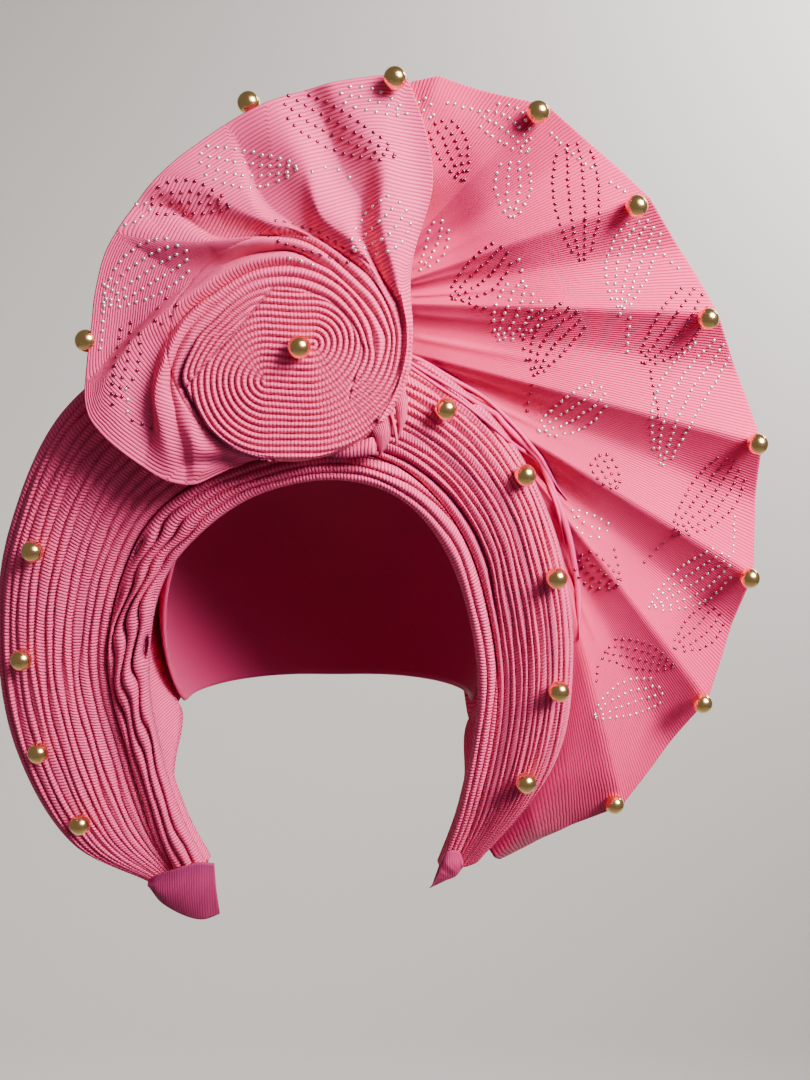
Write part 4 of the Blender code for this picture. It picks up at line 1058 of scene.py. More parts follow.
def frill_piece(folds, material):
    """The frill: a grid of turns and distances from inside the knot's border to the outline,
    closer together near the knot, laid on the rosette's surface."""
    def grid(turn_count, step_count):
        """The frill's surface at so many turns and steps outwards, with its cloth's values."""
        turn = np.linspace(*FRILL_TURNS, turn_count)
        direction = np.stack([np.cos(np.radians(turn)), np.sin(np.radians(turn))], axis=-1)
        start = 0.925 / np.linalg.norm(direction / KNOT_HALVES, axis=-1)
        outline = np.maximum(folds.at(folds.outline, turn), start + 2.5)
        q = np.linspace(0, 1, step_count)
        q = 0.45 * q + 0.55 * q * q
        far = start[:, None] + (outline - start)[:, None] * q[None, :]
        spot = ROSETTE + direction[:, None] * far[..., None]
        y, run, number, painted_shade = rosette_at(folds, spot)
        y = y + BORDER_DIP * smooth_step(0.995, 0.94, oval_reach(spot))
        return np.stack([spot[..., 0], y, spot[..., 1]], axis=-1), run, number, painted_shade

    front, run, number, painted_shade = grid(*FRILL_FINE)
    coarse = grid(*FRILL_COARSE)[0]
    back = coarse - grid_normals(coarse, FORWARDS) * CLOTH_WALL
    uv = np.stack([run, number * ROW_PITCH], axis=-1)
    return walled("frill_cloth", front, back, material, uv, painted_shade=painted_shade)


# The fan, the folds beside it, the tucks and the tabs

# One row for each crease of the fan, from the top down the right side: where it starts at the
# hub, its corner on the rim, and how far the cloth falls back between it and the next.
FanCrease = namedtuple("FanCrease", "root corner depth")
FAN = (
    FanCrease((10, -75, 60), (2, -80, 122), 3.0),
    FanCrease((24, -74, 66), (50, -84, 130), 5.0),
    FanCrease((34, -72, 60), (94, -82, 119), 9.0),
    FanCrease((36, -70, 49), (138, -74, 83), 10.0),
    FanCrease((37, -68, 40), (170, -62, 36), 10.5),
    FanCrease((37, -61, 20), (194, -46, -20), 13.0),
    FanCrease((51, -56, 6), (196, -28, -81), 13.0),
    FanCrease((87, -50, -26), (181, -6, -144), 11.0),
    FanCrease((107, -42, -75), (143, 9, -200), 0.0),
    FanCrease((107, -32, -137), (119, 14, -211), 0.0),
    FanCrease((93, -22, -183), (103, 15, -219), 0.0),
    FanCrease((75, -8, -214), (85, 14, -228), 0.0),
)
FAN_BOW = 5.0
FAN_VALLEY = 0.42
FAN_BULGE = 2.0
FAN_LENGTH = 150.0
FAN_WALL = 1.3
# The panels that fall back further than this are the sharply folded ones.
FAN_DEEP = 6.0
# The fan's grid: across each panel, and outwards on its front and on its back.
PANEL_ACROSS, FAN_FINE, FAN_COARSE = 24, 130, 12


def fan_piece(material):
    """The fan: straight creases run from the hub to the corners of the rim. Between two creases
    the cloth falls back to a round valley and rises again, by a power of the distance from the
    valley, and the fall grows with the distance from the hub."""
    roots, corners = (np.array([getattr(row, k) for row in FAN], float) for k in ("root", "corner"))
    depths = np.array([row.depth for row in FAN], float)
    number = np.arange(len(FAN))
    share = np.linspace(0, 1, PANEL_ACROSS, endpoint=False)
    between = np.concatenate([(number[:-1, None] + share[None, :]).ravel(), [number[-1]]])
    panel = np.minimum(np.floor(between).astype(int), len(FAN) - 2)
    part = between - panel
    from_valley = np.where(part < FAN_VALLEY, 1 - part / FAN_VALLEY,
                           (part - FAN_VALLEY) / (1 - FAN_VALLEY))
    fall = depths[panel] * (1 - from_valley ** 1.45)
    folded = (depths[panel] > FAN_DEEP).astype(float)
    root, rim = (np.stack([np.interp(between, number, table[:, k]) for k in range(3)], axis=-1)
                 for table in (roots, corners))
    chord = unit(np.gradient(rim, axis=0))
    outwards = np.stack([-chord[:, 2], 0 * between, chord[:, 0]], axis=-1)
    outwards *= np.sign(np.sum(outwards * (rim - root), axis=-1))[:, None]
    rim = rim + outwards * (FAN_BULGE * np.sin(math.pi * part) * folded)[:, None]

    def sheet_at(r):
        """The fan's surface at shares of the way from the hub to the rim."""
        sheet = root[:, None] + (rim - root)[:, None] * r[..., None]
        sheet[..., 1] = root[:, None, 1] + (rim - root)[:, None, 1] * r ** 1.6
        sheet[..., 1] -= FAN_BOW * smooth_step(0.15, 0.5, r) * np.sin(math.pi * r)
        # Small extra creases show between the main ones near the hub.
        near = smooth_step(0.55, 0.12, r)
        spare = np.exp(-((part - 0.66) / 0.05) ** 2) + 0.7 * np.exp(-((part - 0.2) / 0.05) ** 2)
        slack = 0.5 * ruffle(r * 6 + between[:, None] * 2.0, 31, 2) * smooth_step(0.1, 0.4, r)
        deep = fall[:, None] * (0.22 + 0.78 * r) + slack
        deep = deep - 1.1 * (spare * folded)[:, None] * near * smooth_step(0, 0.05, r)
        sheet[..., 1] += deep
        return sheet

    outwards_at = np.linspace(0, 1, FAN_FINE)[None, :]
    sheet = sheet_at(outwards_at)
    coarse = sheet_at(np.linspace(0, 1, FAN_COARSE)[None, :])
    back = coarse - FORWARDS * FAN_WALL
    run = lengths_along(sheet[:, -1])[:, None]
    uv = np.stack(np.broadcast_arrays(run, outwards_at * FAN_LENGTH), axis=-1)
    fade = np.broadcast_to(smooth_step(0.12, 0.55, outwards_at), uv.shape[:2])
    # Painted shade: cloth that turns away from the light is painted darker, and so are the hub,
    # behind the knot, and the last panels, behind the brim.
    turned_away = smooth_step(FAN_VALLEY + 0.12, FAN_VALLEY - 0.12, part) * folded
    low = smooth_step(4.0, 7.0, between)[:, None]
    painted_shade = turned_away[:, None] * (0.50 - 0.22 * outwards_at)
    painted_shade = painted_shade + 0.62 * smooth_step(0.45, 0.0, outwards_at) * (0.65 + 0.35 * low)
    last = smooth_step(8.0, 8.25, between)[:, None]
    painted_shade = painted_shade + 0.5 * low * smooth_step(0.16, 0.02, outwards_at)
    painted_shade = painted_shade + last * (0.8 - 0.35 * smooth_step(0.45, 1.0, outwards_at))
    return walled("fan_cloth", sheet, back, material, uv, fade, np.clip(painted_shade, 0, 1))


# The folds' paths and the leaves of stones are given as the camera sees them on this plane.
TRACED_PLANE = -70.0
# One row for each folded edge: its width near the knot and further down, and its path across
# and up, from under the knot along the brim's edge.
FanFold = namedtuple("FanFold", "name node widths path")
FAN_FOLDS = (
    FanFold("inner_fold_cloth", "fan_fold_inner", (1.6, 1.6), (
        (34.4, 15.7), (39.0, 13.2), (44.5, 9.6), (51.7, 4.8), (58.9, 0.2), (66.1, -5.3),
        (73.4, -11.2), (79.3, -16.3), (84.9, -20.5), (90.4, -24.1), (93.9, -27.5),
        (96.5, -33.3), (98.9, -39.3), (101.3, -46.1), (103.3, -53.8), (104.9, -62.4))),
    FanFold("middle_fold_cloth", "fan_fold_middle", (1.7, 2.8), (
        (34.0, 17.8), (38.2, 15.7), (44.5, 11.9), (51.7, 7.7), (58.9, 3.3), (66.1, -0.9),
        (71.2, -3.8), (75.4, -6.6), (78.4, -10.2), (84.4, -16.3), (90.4, -21.8), (94.1, -26.3),
        (96.7, -32.0), (99.3, -38.0), (102.3, -45.2), (105.0, -52.9), (107.5, -62.4),
        (109.3, -72.3), (110.4, -79.6), (111.0, -85.7), (111.3, -94.4), (111.6, -103.1))),
    FanFold("outer_fold_cloth", "fan_fold_outer", (1.9, 1.9), (
        (34.4, 20.7), (39.0, 18.2), (44.5, 15.7), (51.7, 11.5), (58.9, 7.3), (66.1, 3.3),
        (71.6, -0.5), (75.9, -4.3), (79.3, -7.6), (84.8, -13.3), (90.4, -20.1), (94.3, -25.0),
        (97.5, -30.7), (101.4, -37.1), (105.7, -42.7))),
)
# How far the folded edges stand out of the cloth, and along what run their width changes.
FOLD_STAND = 1.1
FOLD_WIDENS = (30.0, 75.0)
FOLD_TAPER = 18.0


def seen_from_camera(spots, tree):
    """Where lines from the camera's place through spots on the plane of the traced tables meet
    the tree's faces: the lines' directions, the distances and the faces' normals."""
    eye = np.array(CAMERA_PLACE) / MM
    spots = np.asarray(spots, float)
    ahead = np.stack([spots[:, 0], np.full(len(spots), TRACED_PLANE), spots[:, 1]], axis=-1)
    rays = unit(ahead - eye)
    hits = [tree.ray_cast(Vector(eye), Vector(ray)) for ray in rays]
    met = np.array([hit[0] is not None for hit in hits])
    away = np.array([hit[3] if hit[0] is not None else 0.0 for hit in hits])
    normals = np.array([hit[1] if hit[0] is not None else (0, -1, 0) for hit in hits])
    normals *= np.where(np.sum(normals * rays, axis=-1) > 0, -1, 1)[:, None]
    return eye, rays, met, away, normals


def fold_piece(row, tree, material):
    """A folded edge: a narrow tube, deeper than it is wide, carried along its traced path and
    seated on the brim and the fan under it."""
    path = through(row.path, np.linspace(0, 1, 260))
    eye, rays, met, away, _ = seen_from_camera(path, tree)
    away = np.interp(np.arange(len(path)), np.flatnonzero(met), away[met])
    kernel = np.hanning(41) / np.hanning(41).sum()
    nearest = np.min([np.roll(np.pad(away, 6, mode="edge"), k)[6:-6] for k in range(-5, 6)], axis=0)
    away = np.convolve(np.pad(nearest, 20, mode="edge"), kernel, mode="valid")
    run = lengths_along(eye + rays * away[:, None])
    taper = 0.15 + 0.85 * smooth_step(run[-1], run[-1] - FOLD_TAPER, run)
    middle = eye + rays * (away - FOLD_STAND * (1.1 * taper - 0.5))[:, None]
    forward = unit(np.gradient(middle, axis=0))
    side = unit(np.cross(forward, rays))
    turn = np.linspace(0, 2 * math.pi, 17)[:-1]
    width = np.interp(run, FOLD_WIDENS, row.widths) * taper
    wide = 0.5 * width[:, None] * np.cos(turn)
    deep = (FOLD_STAND * (0.6 + 0.4 * taper))[:, None] * np.sin(turn)
    ring = middle[:, None] + side[:, None] * wide[..., None] - rays[:, None] * deep[..., None]
    ids = np.arange(ring.shape[0] * ring.shape[1]).reshape(ring.shape[:2])
    faces = [quads(np.concatenate([ids, ids[:, :1]], axis=1)),
             ids[:1].copy(), ids[-1:, ::-1].copy()]
    uv = np.stack(np.broadcast_arrays(np.cos(turn)[None, :] * 2, run[:, None]), axis=-1)
    # Painted shade on the tube's sides and on its side towards the cloth under it; the side towards
    # the camera stays light.
    painted_shade = np.broadcast_to(smooth_step(0.85, 0.1, np.sin(turn))[None, :], ring.shape[:2])
    return make_piece(row.name, ring.reshape(-1, 3), faces, material, uv.reshape(-1, 2),
                      painted_shade=painted_shade.ravel())


# One row for each place along a pinched end, from under the knot to its tip: its left and right
# sides across and up, and how far forward it lies. The ribs run along all but the last.
TuckPlace = namedtuple("TuckPlace", "left right y")
TuckEnd = namedtuple("TuckEnd", "ribs_along places")
TUCK_ENDS = (
    TuckEnd(True, (
        TuckPlace((28.7, 1.5), (34.8, 7.6), -84.0),
        TuckPlace((31.6, -1.8), (36.9, 3.1), -85.5),
        TuckPlace((32.8, -5.5), (37.7, -1.4), -86.0),
        TuckPlace((33.0, -9.2), (37.3, -6.3), -85.5),
        TuckPlace((33.2, -12.9), (36.1, -10.9), -84.5),
        TuckPlace((33.0, -15.9), (34.4, -14.6), -83.5),
        TuckPlace((33.1, -17.5), (33.4, -17.3), -83.0))),
    TuckEnd(True, (
        TuckPlace((18.7, -10.1), (30.7, -5.1), -84.0),
        TuckPlace((22.1, -12.4), (31.0, -8.5), -86.5),
        TuckPlace((24.1, -15.3), (31.0, -12.5), -87.0),
        TuckPlace((24.7, -18.8), (30.2, -16.7), -86.0),
        TuckPlace((25.5, -21.4), (28.4, -20.0), -85.0),
        TuckPlace((26.0, -23.0), (26.4, -22.8), -84.0))),
    TuckEnd(True, (
        TuckPlace((29.6, -5.5), (31.6, -5.2), -85.0),
        TuckPlace((30.8, -9.0), (32.4, -8.7), -87.3),
        TuckPlace((31.6, -13.0), (33.1, -12.6), -87.0),
        TuckPlace((32.4, -16.4), (33.5, -16.1), -86.0),
        TuckPlace((33.0, -19.0), (33.3, -18.9), -84.5))),
    TuckEnd(False, (
        TuckPlace((3.8, -24.0), (3.8, -20.5), -83.0),
        TuckPlace((11.7, -24.2), (11.7, -19.0), -85.0),
        TuckPlace((17.9, -23.5), (17.9, -17.0), -86.0),
        TuckPlace((22.5, -22.8), (22.9, -15.4), -86.5),
        TuckPlace((24.9, -22.9), (24.5, -15.6), -85.0))),
)
TUCK_BOW = 1.5
TUCK_WALL = 1.2


def tucks_piece(material):
    """The pinched ends: each is a sheet between a left and a right curve, bowed forwards by a
    sine across it, and the sheets are one mesh."""
    parts, shift = [], 0
    share = np.linspace(0, 1, 25)[None, :, None]
    for end in TUCK_ENDS:
        at = np.linspace(0, 1, 61)
        left, right = (through([getattr(row, k) for row in end.places], at)[:, None]
                       for k in ("left", "right"))
        flat = left + (right - left) * share
        bow = TUCK_BOW * np.sin(math.pi * share[..., 0])
        y = through([[row.y] for row in end.places], at) - bow
        sheet = np.stack([flat[..., 0], y, flat[..., 1]], axis=-1)
        back = thinned(sheet, 11, 7) - FORWARDS * TUCK_WALL
        along = np.broadcast_to(lengths_along(flat[:, 12])[:, None], y.shape)
        widest = np.linalg.norm(right - left, axis=-1).max()
        across = np.broadcast_to(1.3 * widest * share[..., 0], y.shape)
        uv = np.stack([across, along] if end.ribs_along else [along, across], axis=-1)
        # Painted shade: it is painted darkest on its left side and where it comes out from under
        # the knot.
        painted_shade = 0.75 * smooth_step(0.22, 0.02, share[..., 0])
        painted_shade = np.clip(painted_shade + 0.4 * smooth_step(0.4, 0.1, at)[:, None], 0, 1)
        points, faces, uv, _, painted_shade = wall_arrays(sheet, back, uv, painted_shade=painted_shade)
        parts.append((points, [f + shift for f in faces], uv, painted_shade))
        shift += len(points)
    points, uv, painted_shade = (np.concatenate([part[k] for part in parts]) for k in (0, 2, 3))
    faces = [f for part in parts for f in part[1]]
    return make_piece("tuck_cloth", points, faces, material, uv, painted_shade=painted_shade)


# One row for each section along a tab: its upper and its lower edge.
TabSection = namedtuple("TabSection", "upper lower")
JAW_TAB_LEFT = (
    TabSection((-85, -22, -227), (-85, -21, -230)),
    TabSection((-80, -26, -223), (-79, -23, -237)),
    TabSection((-71, -29, -219), (-69, -21, -244)),
    TabSection((-61, -29, -216), (-60, -19, -247)),
    TabSection((-53, -27, -217), (-52, -17, -245)),
)
JAW_TAB_RIGHT = (
    TabSection((64, -25, -216), (63.5, -22, -221)),
    TabSection((62, -28.5, -211), (60.5, -24, -224)),
    TabSection((57, -30, -210), (55.7, -24, -226.1)),
    TabSection((53.4, -28, -215.6), (51.5, -22, -228.9)),
    TabSection((50.2, -24, -225.7), (48.1, -20, -231.3)),
)
TAB_BOW = 2.5


def tab_piece(name, rows, material, seed, shade):
    """A plain cloth end, bowed forwards by a sine across it, with slanted ribs. The shade is how
    much painted shade darkens it all over."""
    at = np.linspace(0, 1, 60)
    upper = through([row.upper for row in rows], at)
    lower = through([row.lower for row in rows], at)
    share = np.linspace(0, 1, 30)[None, :, None]
    sheet = upper[:, None] + (lower - upper)[:, None] * share
    crinkle = 0.35 * ruffle(at[:, None] * 9 + share[..., 0] * 5, seed)
    sheet[..., 1] -= (TAB_BOW + crinkle) * np.sin(math.pi * share[..., 0])
    back = thinned(sheet, 11, 7) - FORWARDS * CLOTH_WALL
    run = lengths_along(upper)[:, None]
    uv = np.stack(np.broadcast_arrays(1.3 * run + 3 * share[..., 0], share[..., 0] * 15), axis=-1)
    # Painted shade over the whole tab, and more along its upper edge, where it comes from under the
    # brim.
    painted_shade = np.full(sheet.shape[:2], shade) + 0.3 * smooth_step(0.3, 0, share[..., 0])
    return walled(name, sheet, back, material, uv, painted_shade=painted_shade)


# How far down from the crown the cap reaches, by the turn from the front, in degrees.
CapCorner = namedtuple("CapCorner", "from_front down")
CAP_EDGE = (
    CapCorner(0, 38),
    CapCorner(30, 42),
    CapCorner(44, 50),
    CapCorner(56, 66),
    CapCorner(66, 92),
    CapCorner(78, 120),
    CapCorner(180, 124),
)
CAP_TURNS = 193
CAP_STEPS = 70
SEAM_DEPTH = 0.075


def cap_piece(material):
    """The cap: a wall round the skull as far down as its edge table says. The grid goes round
    in turns and down from the crown; the front grid is the outside."""
    turn = np.linspace(0, 2 * math.pi, CAP_TURNS)
    from_front = np.degrees(np.abs((turn + math.pi) % (2 * math.pi) - math.pi))
    lowest = np.radians(read_table(CAP_EDGE, from_front))
    kernel = np.ones(9) / 9
    ringed = np.concatenate([lowest[-9:-1], lowest, lowest[1:9]])
    lowest = np.convolve(ringed, kernel, mode="same")[8:-8]
    down = lowest[:, None] * np.linspace(0, 1, CAP_STEPS)[None, :]
    direction = np.stack([np.sin(turn)[:, None] * np.sin(down),
                          -np.cos(turn)[:, None] * np.sin(down), np.cos(down)], axis=-1)
    # Six sewn seams run down from the crown.
    seam = np.exp(-((np.abs(((turn * 3 / math.pi) % 1) - 0.5) * 2 - 1) / 0.02) ** 2)
    outer = HEAD_CENTRE + direction * (HEAD_HALVES + CLOTH_WALL)
    outer = outer - direction * (SEAM_DEPTH * seam[:, None, None])
    inner = HEAD_CENTRE + direction * HEAD_HALVES
    ids = np.arange(CAP_TURNS * CAP_STEPS).reshape(CAP_TURNS, CAP_STEPS)
    ids[-1] = ids[0]
    ids[:, 0] = ids[0, 0]
    under = ids + CAP_TURNS * CAP_STEPS
    edge_ids = np.stack([ids[:, -1], under[:, -1]], axis=1)
    faces = []
    for group, flip in ((ids, False), (under, True)):
        body = quads(group[:, 1:])
        pole = np.stack([group[:-1, 0], group[1:, 1], group[:-1, 1]], axis=-1)
        faces += [body[:, ::-1], pole[:, ::-1]] if flip else [body, pole]
    faces.append(quads(edge_ids))
    points = np.concatenate([outer.reshape(-1, 3), inner.reshape(-1, 3)])
    uv_one = np.stack(np.broadcast_arrays(np.degrees(down) * 1.5, turn[:, None] * 80), axis=-1)
    uv = np.concatenate([uv_one.reshape(-1, 2)] * 2)
    piece = make_piece("cap_lining", points, faces, material, uv)
    drop_loose_points(piece)
    return piece


def drop_loose_points(piece):
    """Removes the vertices that no face uses."""
    body = bmesh.new()
    body.from_mesh(piece.data)
    loose = [v for v in body.verts if not v.link_faces]
    bmesh.ops.delete(body, geom=loose, context="VERTS")
    body.to_mesh(piece.data)
    body.free()


# Beads and stones

BEAD_NODES = (["bead_knot"] + [f"bead_brim_left_{n}" for n in range(1, 5)]
              + [f"bead_brim_right_{n}" for n in range(1, 6)]
              + [f"bead_rim_{n}" for n in range(1, 11)])
BEAD_RADIUS = 4.7
BEAD_SIDES, BEAD_RINGS = 32, 20


def ball(around, down):
    """The points and faces of a unit ball with closed poles towards the front and back."""
    turn = np.linspace(0, 2 * math.pi, around, endpoint=False)[:, None]
    fall = np.linspace(0, math.pi, down + 1)[None, 1:-1]
    ring = np.stack([np.cos(turn) * np.sin(fall), -np.cos(fall) + 0 * turn,
                     np.sin(turn) * np.sin(fall)], axis=-1)
    ids = np.arange(around * (down - 1)).reshape(around, down - 1)
    closed = np.concatenate([ids, ids[:1]])
    front, back = ids.size, ids.size + 1
    first = np.stack([closed[:-1, 0], np.full(around, front), closed[1:, 0]], axis=-1)
    last = np.stack([closed[1:, -1], np.full(around, back), closed[:-1, -1]], axis=-1)
    points = np.concatenate([ring.reshape(-1, 3), [(0, -1, 0), (0, 1, 0)]])
    return points, quads(closed), np.concatenate([first, last])


def beads_piece(material):
    """All the gold beads as one mesh: a ball at the middle of each bead's solid."""
    points, squares, corners = ball(BEAD_SIDES, BEAD_RINGS)
    centres = np.array([np.mean(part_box(name), axis=0) for name in BEAD_NODES]) / MM
    count = len(centres)
    shift = (np.arange(count) * len(points))[:, None, None]
    all_points = (points[None] * BEAD_RADIUS + centres[:, None]).reshape(-1, 3)
    faces = [(squares[None] + shift).reshape(-1, 4), (corners[None] + shift).reshape(-1, 3)]
    return make_piece("gold_beads", all_points, faces, material)


def tree_of(pieces):
    """A tree of the pieces' faces in millimetres, for finding what lies under a spot."""
    points, faces, start = [], [], 0
    for piece in pieces:
        mesh = piece.data
        mesh.calc_loop_triangles()
        place = np.empty(len(mesh.vertices) * 3, np.float32)
        mesh.vertices.foreach_get("co", place)
        corner = np.empty(len(mesh.loop_triangles) * 3, np.int32)
        mesh.loop_triangles.foreach_get("vertices", corner)
        points.append(place.reshape(-1, 3) / MM)
        faces.append(corner.reshape(-1, 3) + start)
        start += len(mesh.vertices)
    return BVHTree.FromPolygons(np.concatenate(points).tolist(), np.concatenate(faces).tolist())


# One row for each leaf of stones: where it starts and ends across and up, as the camera sees it
# on the traced plane, its width, its bend, its rows and its stones.
Leaf = namedtuple("Leaf", "start end width bend rows stones")
LEAVES = (
    Leaf((69, 118), (88, 102), 15, 0.2, 4, "silver"),
    Leaf((54, 122), (67, 119), 0, 0, 1, "silver"),
    Leaf((82, 99), (81, 75), 15, 0, 4, "silver"),
    Leaf((84, 58), (86, 49), 0, 0, 1, "silver"),
    Leaf((87, 47), (76, 25), 20, 0.1, 5, "silver"),
    Leaf((138, 74), (127, 36), 19, -0.15, 5, "silver"),
    Leaf((131, 34), (130, 20), 0, 0, 1, "silver"),
    Leaf((170, 25), (145, -30), 20, -0.3, 4, "silver"),
    Leaf((121, 4), (92, -14), 15, 0.1, 4, "silver"),
    Leaf((123, -56), (108, -47), 9, 0.2, 3, "silver"),
    Leaf((177, -50), (177, -65), 0, 0, 1, "silver"),
    Leaf((175, -67), (141, -89), 18, 0.1, 5, "silver"),
    Leaf((148, -125), (118, -137), 15, -0.15, 4, "silver"),
    Leaf((52, 74), (43, 54), 9, 0.2, 3, "silver"),
    Leaf((97, 110), (114, 96), 0, -0.1, 1, "silver"),
    Leaf((145, 60), (151, 55), 0, 0, 1, "silver"),
    Leaf((122, 90), (128, 86), 0, 0, 1, "silver"),
    Leaf((43, 124), (48, 116), 4, 0, 2, "silver"),
    Leaf((50, 115), (61, 90), 13, 0.1, 4, "wine"),
    Leaf((106, 107), (111, 56), 19, 0, 4, "wine"),
    Leaf((79, 63), (55, 42), 15, 0.1, 4, "wine"),
    Leaf((58, 42), (70, 38), 0, 0, 1, "wine"),
    Leaf((102, 40), (109, 37), 0, 0, 1, "wine"),
    Leaf((109, 36), (91, 10), 20, -0.25, 5, "wine"),
    Leaf((90, 6), (88, -5), 0, 0, 1, "wine"),
    Leaf((160, 46), (136, 14), 18, 0.1, 4, "wine"),
    Leaf((140, 12), (144, -7), 0, 0, 1, "wine"),
    Leaf((177, -26), (151, -58), 20, 0.1, 5, "wine"),
    Leaf((147, -61), (139, -69), 0, 0, 1, "wine"),
    Leaf((118, -24), (127, -38), 10, 0, 4, "wine"),
    Leaf((111, -67), (128, -80), 13, -0.1, 4, "wine"),
    Leaf((126, -64), (129, -77), 0, 0, 1, "wine"),
    Leaf((123, -107), (153, -115), 12, 0.1, 4, "wine"),
    Leaf((119, -121), (123, -108), 0, 0.1, 1, "wine"),
    Leaf((171, -90), (152, -107), 15, 0.1, 4, "wine"),
    Leaf((-50, 100), (-7, 96), 15, -0.2, 4, "silver"),
    Leaf((-83, 74), (-69, 81), 6, 0, 2, "silver"),
    Leaf((10, 126), (37, 118), 9, 0.1, 3, "silver"),
    Leaf((-2, 94), (13, 92), 0, 0.3, 1, "silver"),
    Leaf((-55, 62), (-90, 39), 21, -0.1, 5, "silver"),
    Leaf((-90, 48), (-92, 21), 0, 0.05, 1, "silver"),
    Leaf((36, 81), (14, 62), 19, 0.1, 4, "silver"),
    Leaf((-81, 4), (-81, -5), 0, 0, 1, "silver"),
    Leaf((-12, 59), (-2, 56), 0, 0, 1, "silver"),
    Leaf((-70, 82), (-36, 80), 14, 0.2, 4, "wine"),
    Leaf((-14, 124), (34, 100), 16, -0.1, 4, "wine"),
    Leaf((-23, 72), (18, 57), 9, 0.1, 2, "wine"),
    Leaf((-79, 32), (-87, -2), 10, 0.2, 3, "wine"),
    Leaf((-79, -9), (-71, -12), 0, 0, 1, "wine"),
    Leaf((-61, 42), (-68, 31), 6, 0, 2, "wine"),
)
# The stones stand closer on the fan than on the frill.
FAN_STONE_PITCH = 2.7
FRILL_STONE_PITCH = 3.5
FAN_START = 41.0
STONE_RADIUS = 0.88
STONE_SIDES = 7
# The rings of a stone: how wide and how high each is, in radii.
STONE_RINGS = ((1.0, -0.3), (0.95, 0.15), (0.5, 0.55))
# How far a stone strays from its place, in millimetres, and how far it tips.
STONE_STRAY = 0.16
STONE_TIP = 0.22
# The kinds of stone, with their colours and the seeds of how they stray and tip.
StoneKind = namedtuple("StoneKind", "name colour seed")
STONE_KINDS = (
    StoneKind("silver", (0.78, 0.74, 0.79), 61),
    StoneKind("wine", (0.27, 0.016, 0.06), 62),
)


def leaf_spots(leaf):
    """Spots in curved rows: the rows spread from the start, are widest before the middle and
    meet at the end, by a sine of the place along the leaf."""
    start, end = np.array(leaf.start, float), np.array(leaf.end, float)
    length = np.linalg.norm(end - start)
    along_axis = unit(end - start)
    across_axis = np.array([-along_axis[1], along_axis[0]])
    pitch = FAN_STONE_PITCH if start[0] > FAN_START else FRILL_STONE_PITCH
    spots = []
    for row in range(leaf.rows):
        side = 0.0 if leaf.rows == 1 else 2 * row / (leaf.rows - 1) - 1
        count = max(3, round(length / pitch * (1 - 0.2 * abs(side))))
        along = np.linspace(0.1 * abs(side), 1 - 0.12 * abs(side), count)
        off = side * 0.5 * leaf.width * np.sin(math.pi * (0.18 + 0.80 * along)) ** 0.8
        off = off + leaf.bend * max(leaf.width, 10) * np.sin(math.pi * along)
        spots.append(start + along[:, None] * length * along_axis + off[:, None] * across_axis)
    return np.concatenate(spots)


def stones_piece(name, spots, tree, material, seed):
    """Small faceted stones seated on the cloth where a line from the camera's place through
    each spot meets it: a ring, a smaller raised ring and a flat top, turned to the surface's
    normal and tipped a little at random."""
    turn = np.linspace(0, 2 * math.pi, STONE_SIDES, endpoint=False)
    circle = np.stack([np.cos(turn), np.sin(turn)], axis=-1)
    base = np.concatenate([circle * wide for wide, _ in STONE_RINGS])
    height = np.repeat([high for _, high in STONE_RINGS], STONE_SIDES)
    shape = np.column_stack([base, height]) * STONE_RADIUS
    ring = np.arange(STONE_SIDES)
    after = np.roll(ring, -1)
    walls = np.concatenate([
        np.stack([ring + k, after + k, after + k + STONE_SIDES, ring + k + STONE_SIDES], axis=-1)
        for k in (0, STONE_SIDES)])
    lids = np.stack([ring[::-1], ring + 2 * STONE_SIDES])
    draw = np.random.default_rng(seed)
    spots = spots + STONE_STRAY * draw.normal(size=spots.shape)
    eye, rays, met, away, normals = seen_from_camera(spots, tree)
    places = (eye + rays * away[:, None])[met]
    normals = unit(normals[met] + STONE_TIP * draw.normal(size=(len(places), 3)))
    side = unit(np.cross(normals, np.array([0.0, 0.3, 1.0])))
    up = np.cross(normals, side)
    axes = np.stack([side, up, normals], axis=1)
    points = np.einsum("pk,nkc->npc", shape, axes) + places[:, None]
    shift = (np.arange(len(places)) * len(shape))[:, None, None]
    faces = [(walls[None] + shift).reshape(-1, 4), (lids[None] + shift).reshape(-1, STONE_SIDES)]
    return make_piece(name, points.reshape(-1, 3), faces, material, smooth=False)


# Putting it together

# One row for each piece of cloth: the solid it is the look of, its material slot, how wide and
# long it was cut and its cut area, how it is held, and what it rests on.
Sheet = namedtuple("Sheet", "node slot flat held rests_on")
SHEETS = (
    Sheet("head_cap", "cap_cloth", (560, 200, 60000), "stretched", ()),
    Sheet("face_band", "pleated_cloth", (520, 46, 22000), "folded", ("head_cap",)),
    Sheet("pleated_brim", "pleated_cloth", (640, 140, 84000), "gathered",
          ("face_band", "head_cap")),
    Sheet("rosette_knot", "pleated_cloth", (130, 100, 11800), "gathered", ("pleated_brim",)),
    Sheet("rosette_frill", "ribbed_cloth", (210, 100, 15000), "folded", ("rosette_knot",)),
    Sheet("pinched_tucks", "pleated_cloth", (45, 20, 700), "folded", ("rosette_knot",)),
    Sheet("pleated_fan", "ribbed_cloth", (470, 150, 45000), "folded", ("pleated_brim",)),
    Sheet("fan_fold_inner", "ribbed_cloth", (120, 10, 450), "laid", ("pleated_brim",)),
    Sheet("fan_fold_middle", "ribbed_cloth", (160, 10, 700), "laid", ("pleated_brim",)),
    Sheet("fan_fold_outer", "ribbed_cloth", (110, 10, 420), "laid", ("pleated_fan",)),
    Sheet("jaw_tab_left", "ribbed_cloth", (42, 32, 950), "folded", ("pleated_brim",)),
    Sheet("jaw_tab_right", "ribbed_cloth", (24, 20, 290), "folded", ("pleated_brim",)),
)


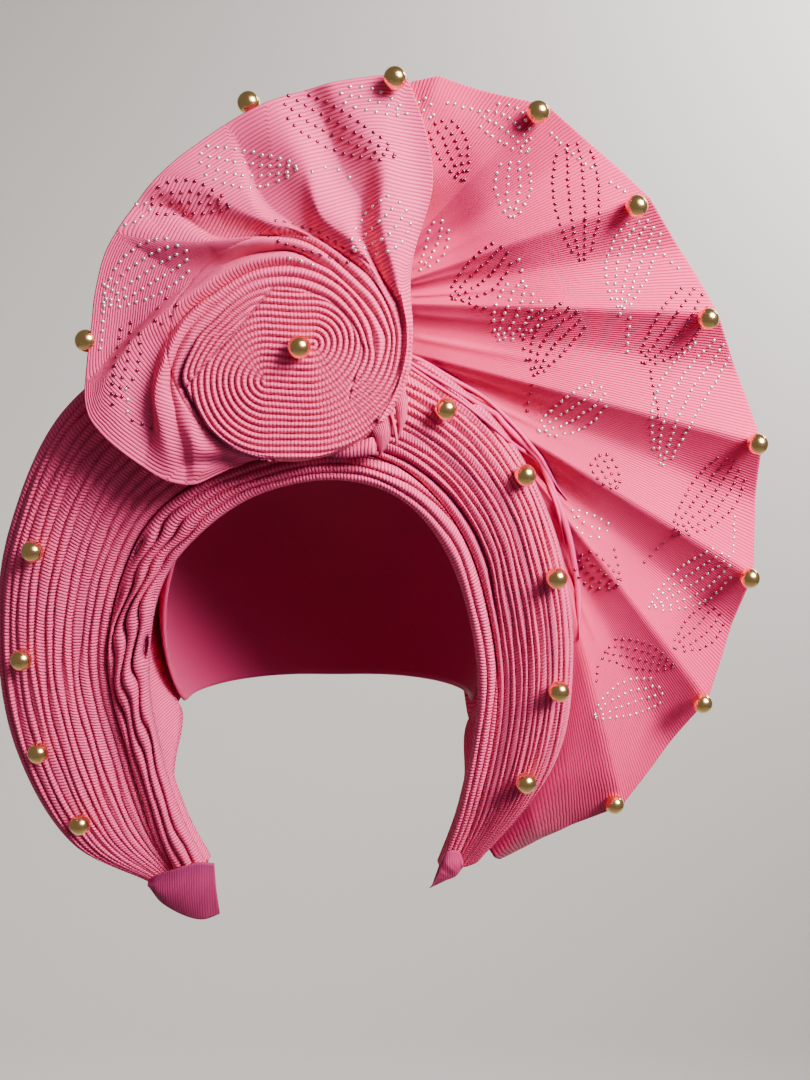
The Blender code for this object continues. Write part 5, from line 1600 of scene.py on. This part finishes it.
def main():
    """Sets the studio up, makes every piece and hides the solids that the pieces stand for."""
    add_camera()
    for lamp in LAMPS:
        add_lamp(lamp)
    add_room_light()
    add_backdrop()
    group = ribbed_cloth_group()
    pleats = cloth_material("pleated_ribbed_cloth", group, PINK, PLEAT_RIB_PITCH, 0.9, 0.45)
    coils = cloth_material("coiled_ribbed_cloth", group, PINK, PLEAT_RIB_PITCH, 0.62, 0.35)
    ribbed = cloth_material("ribbed_cloth", group, FRILL_PINK, RIB_PITCH, 0.85, 0.35)
    fan_ribbed = cloth_material("fan_ribbed_cloth", group, FAN_PINK, RIB_PITCH, 0.85, 0.35,
                                FAN_PAINTED_SHADE)
    edge = cloth_material("edge_cloth", group, EDGE_PINK, RIB_PITCH, 0.12, 0.1)
    tabs = cloth_material("tab_cloth", group, DEEP_PINK, RIB_PITCH, 0.7, 0.2)
    lining = cloth_material("lining_cloth", group, DEEP_PINK, RIB_PITCH, 0.25, 0.15)
    gold = gold_material()

    cap = cap_piece(lining)
    band = band_piece(pleats)
    brim = brim_piece(pleats)
    folds = FoldMap()
    knot = knot_piece(folds, coils)
    frill = frill_piece(folds, ribbed)
    tucks = tucks_piece(ribbed)
    fan = fan_piece(fan_ribbed)
    behind_folds = tree_of([brim, fan])
    edges = [fold_piece(row, behind_folds, edge) for row in FAN_FOLDS]
    # The left tab is given more painted shade than the right.
    left_tab = tab_piece("left_tab_cloth", JAW_TAB_LEFT, tabs, 51, 0.5)
    right_tab = tab_piece("right_tab_cloth", JAW_TAB_RIGHT, tabs, 52, 0.1)
    beads = beads_piece(gold)

    pieces = (cap, band, brim, knot, frill, tucks, fan, *edges, left_tab, right_tab)
    for piece, (node, slot, flat, held, rests_on) in zip(pieces, SHEETS):
        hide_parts(node)
    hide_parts(*BEAD_NODES)

    tree = tree_of([brim, knot, frill, fan, *edges])
    for kind in STONE_KINDS:
        spots = np.concatenate([leaf_spots(leaf) for leaf in LEAVES if leaf.stones == kind.name])
        material = stone_material(f"{kind.name}_stone", kind.colour)
        stones = stones_piece(f"{kind.name}_stones", spots, tree, material, kind.seed)


main()
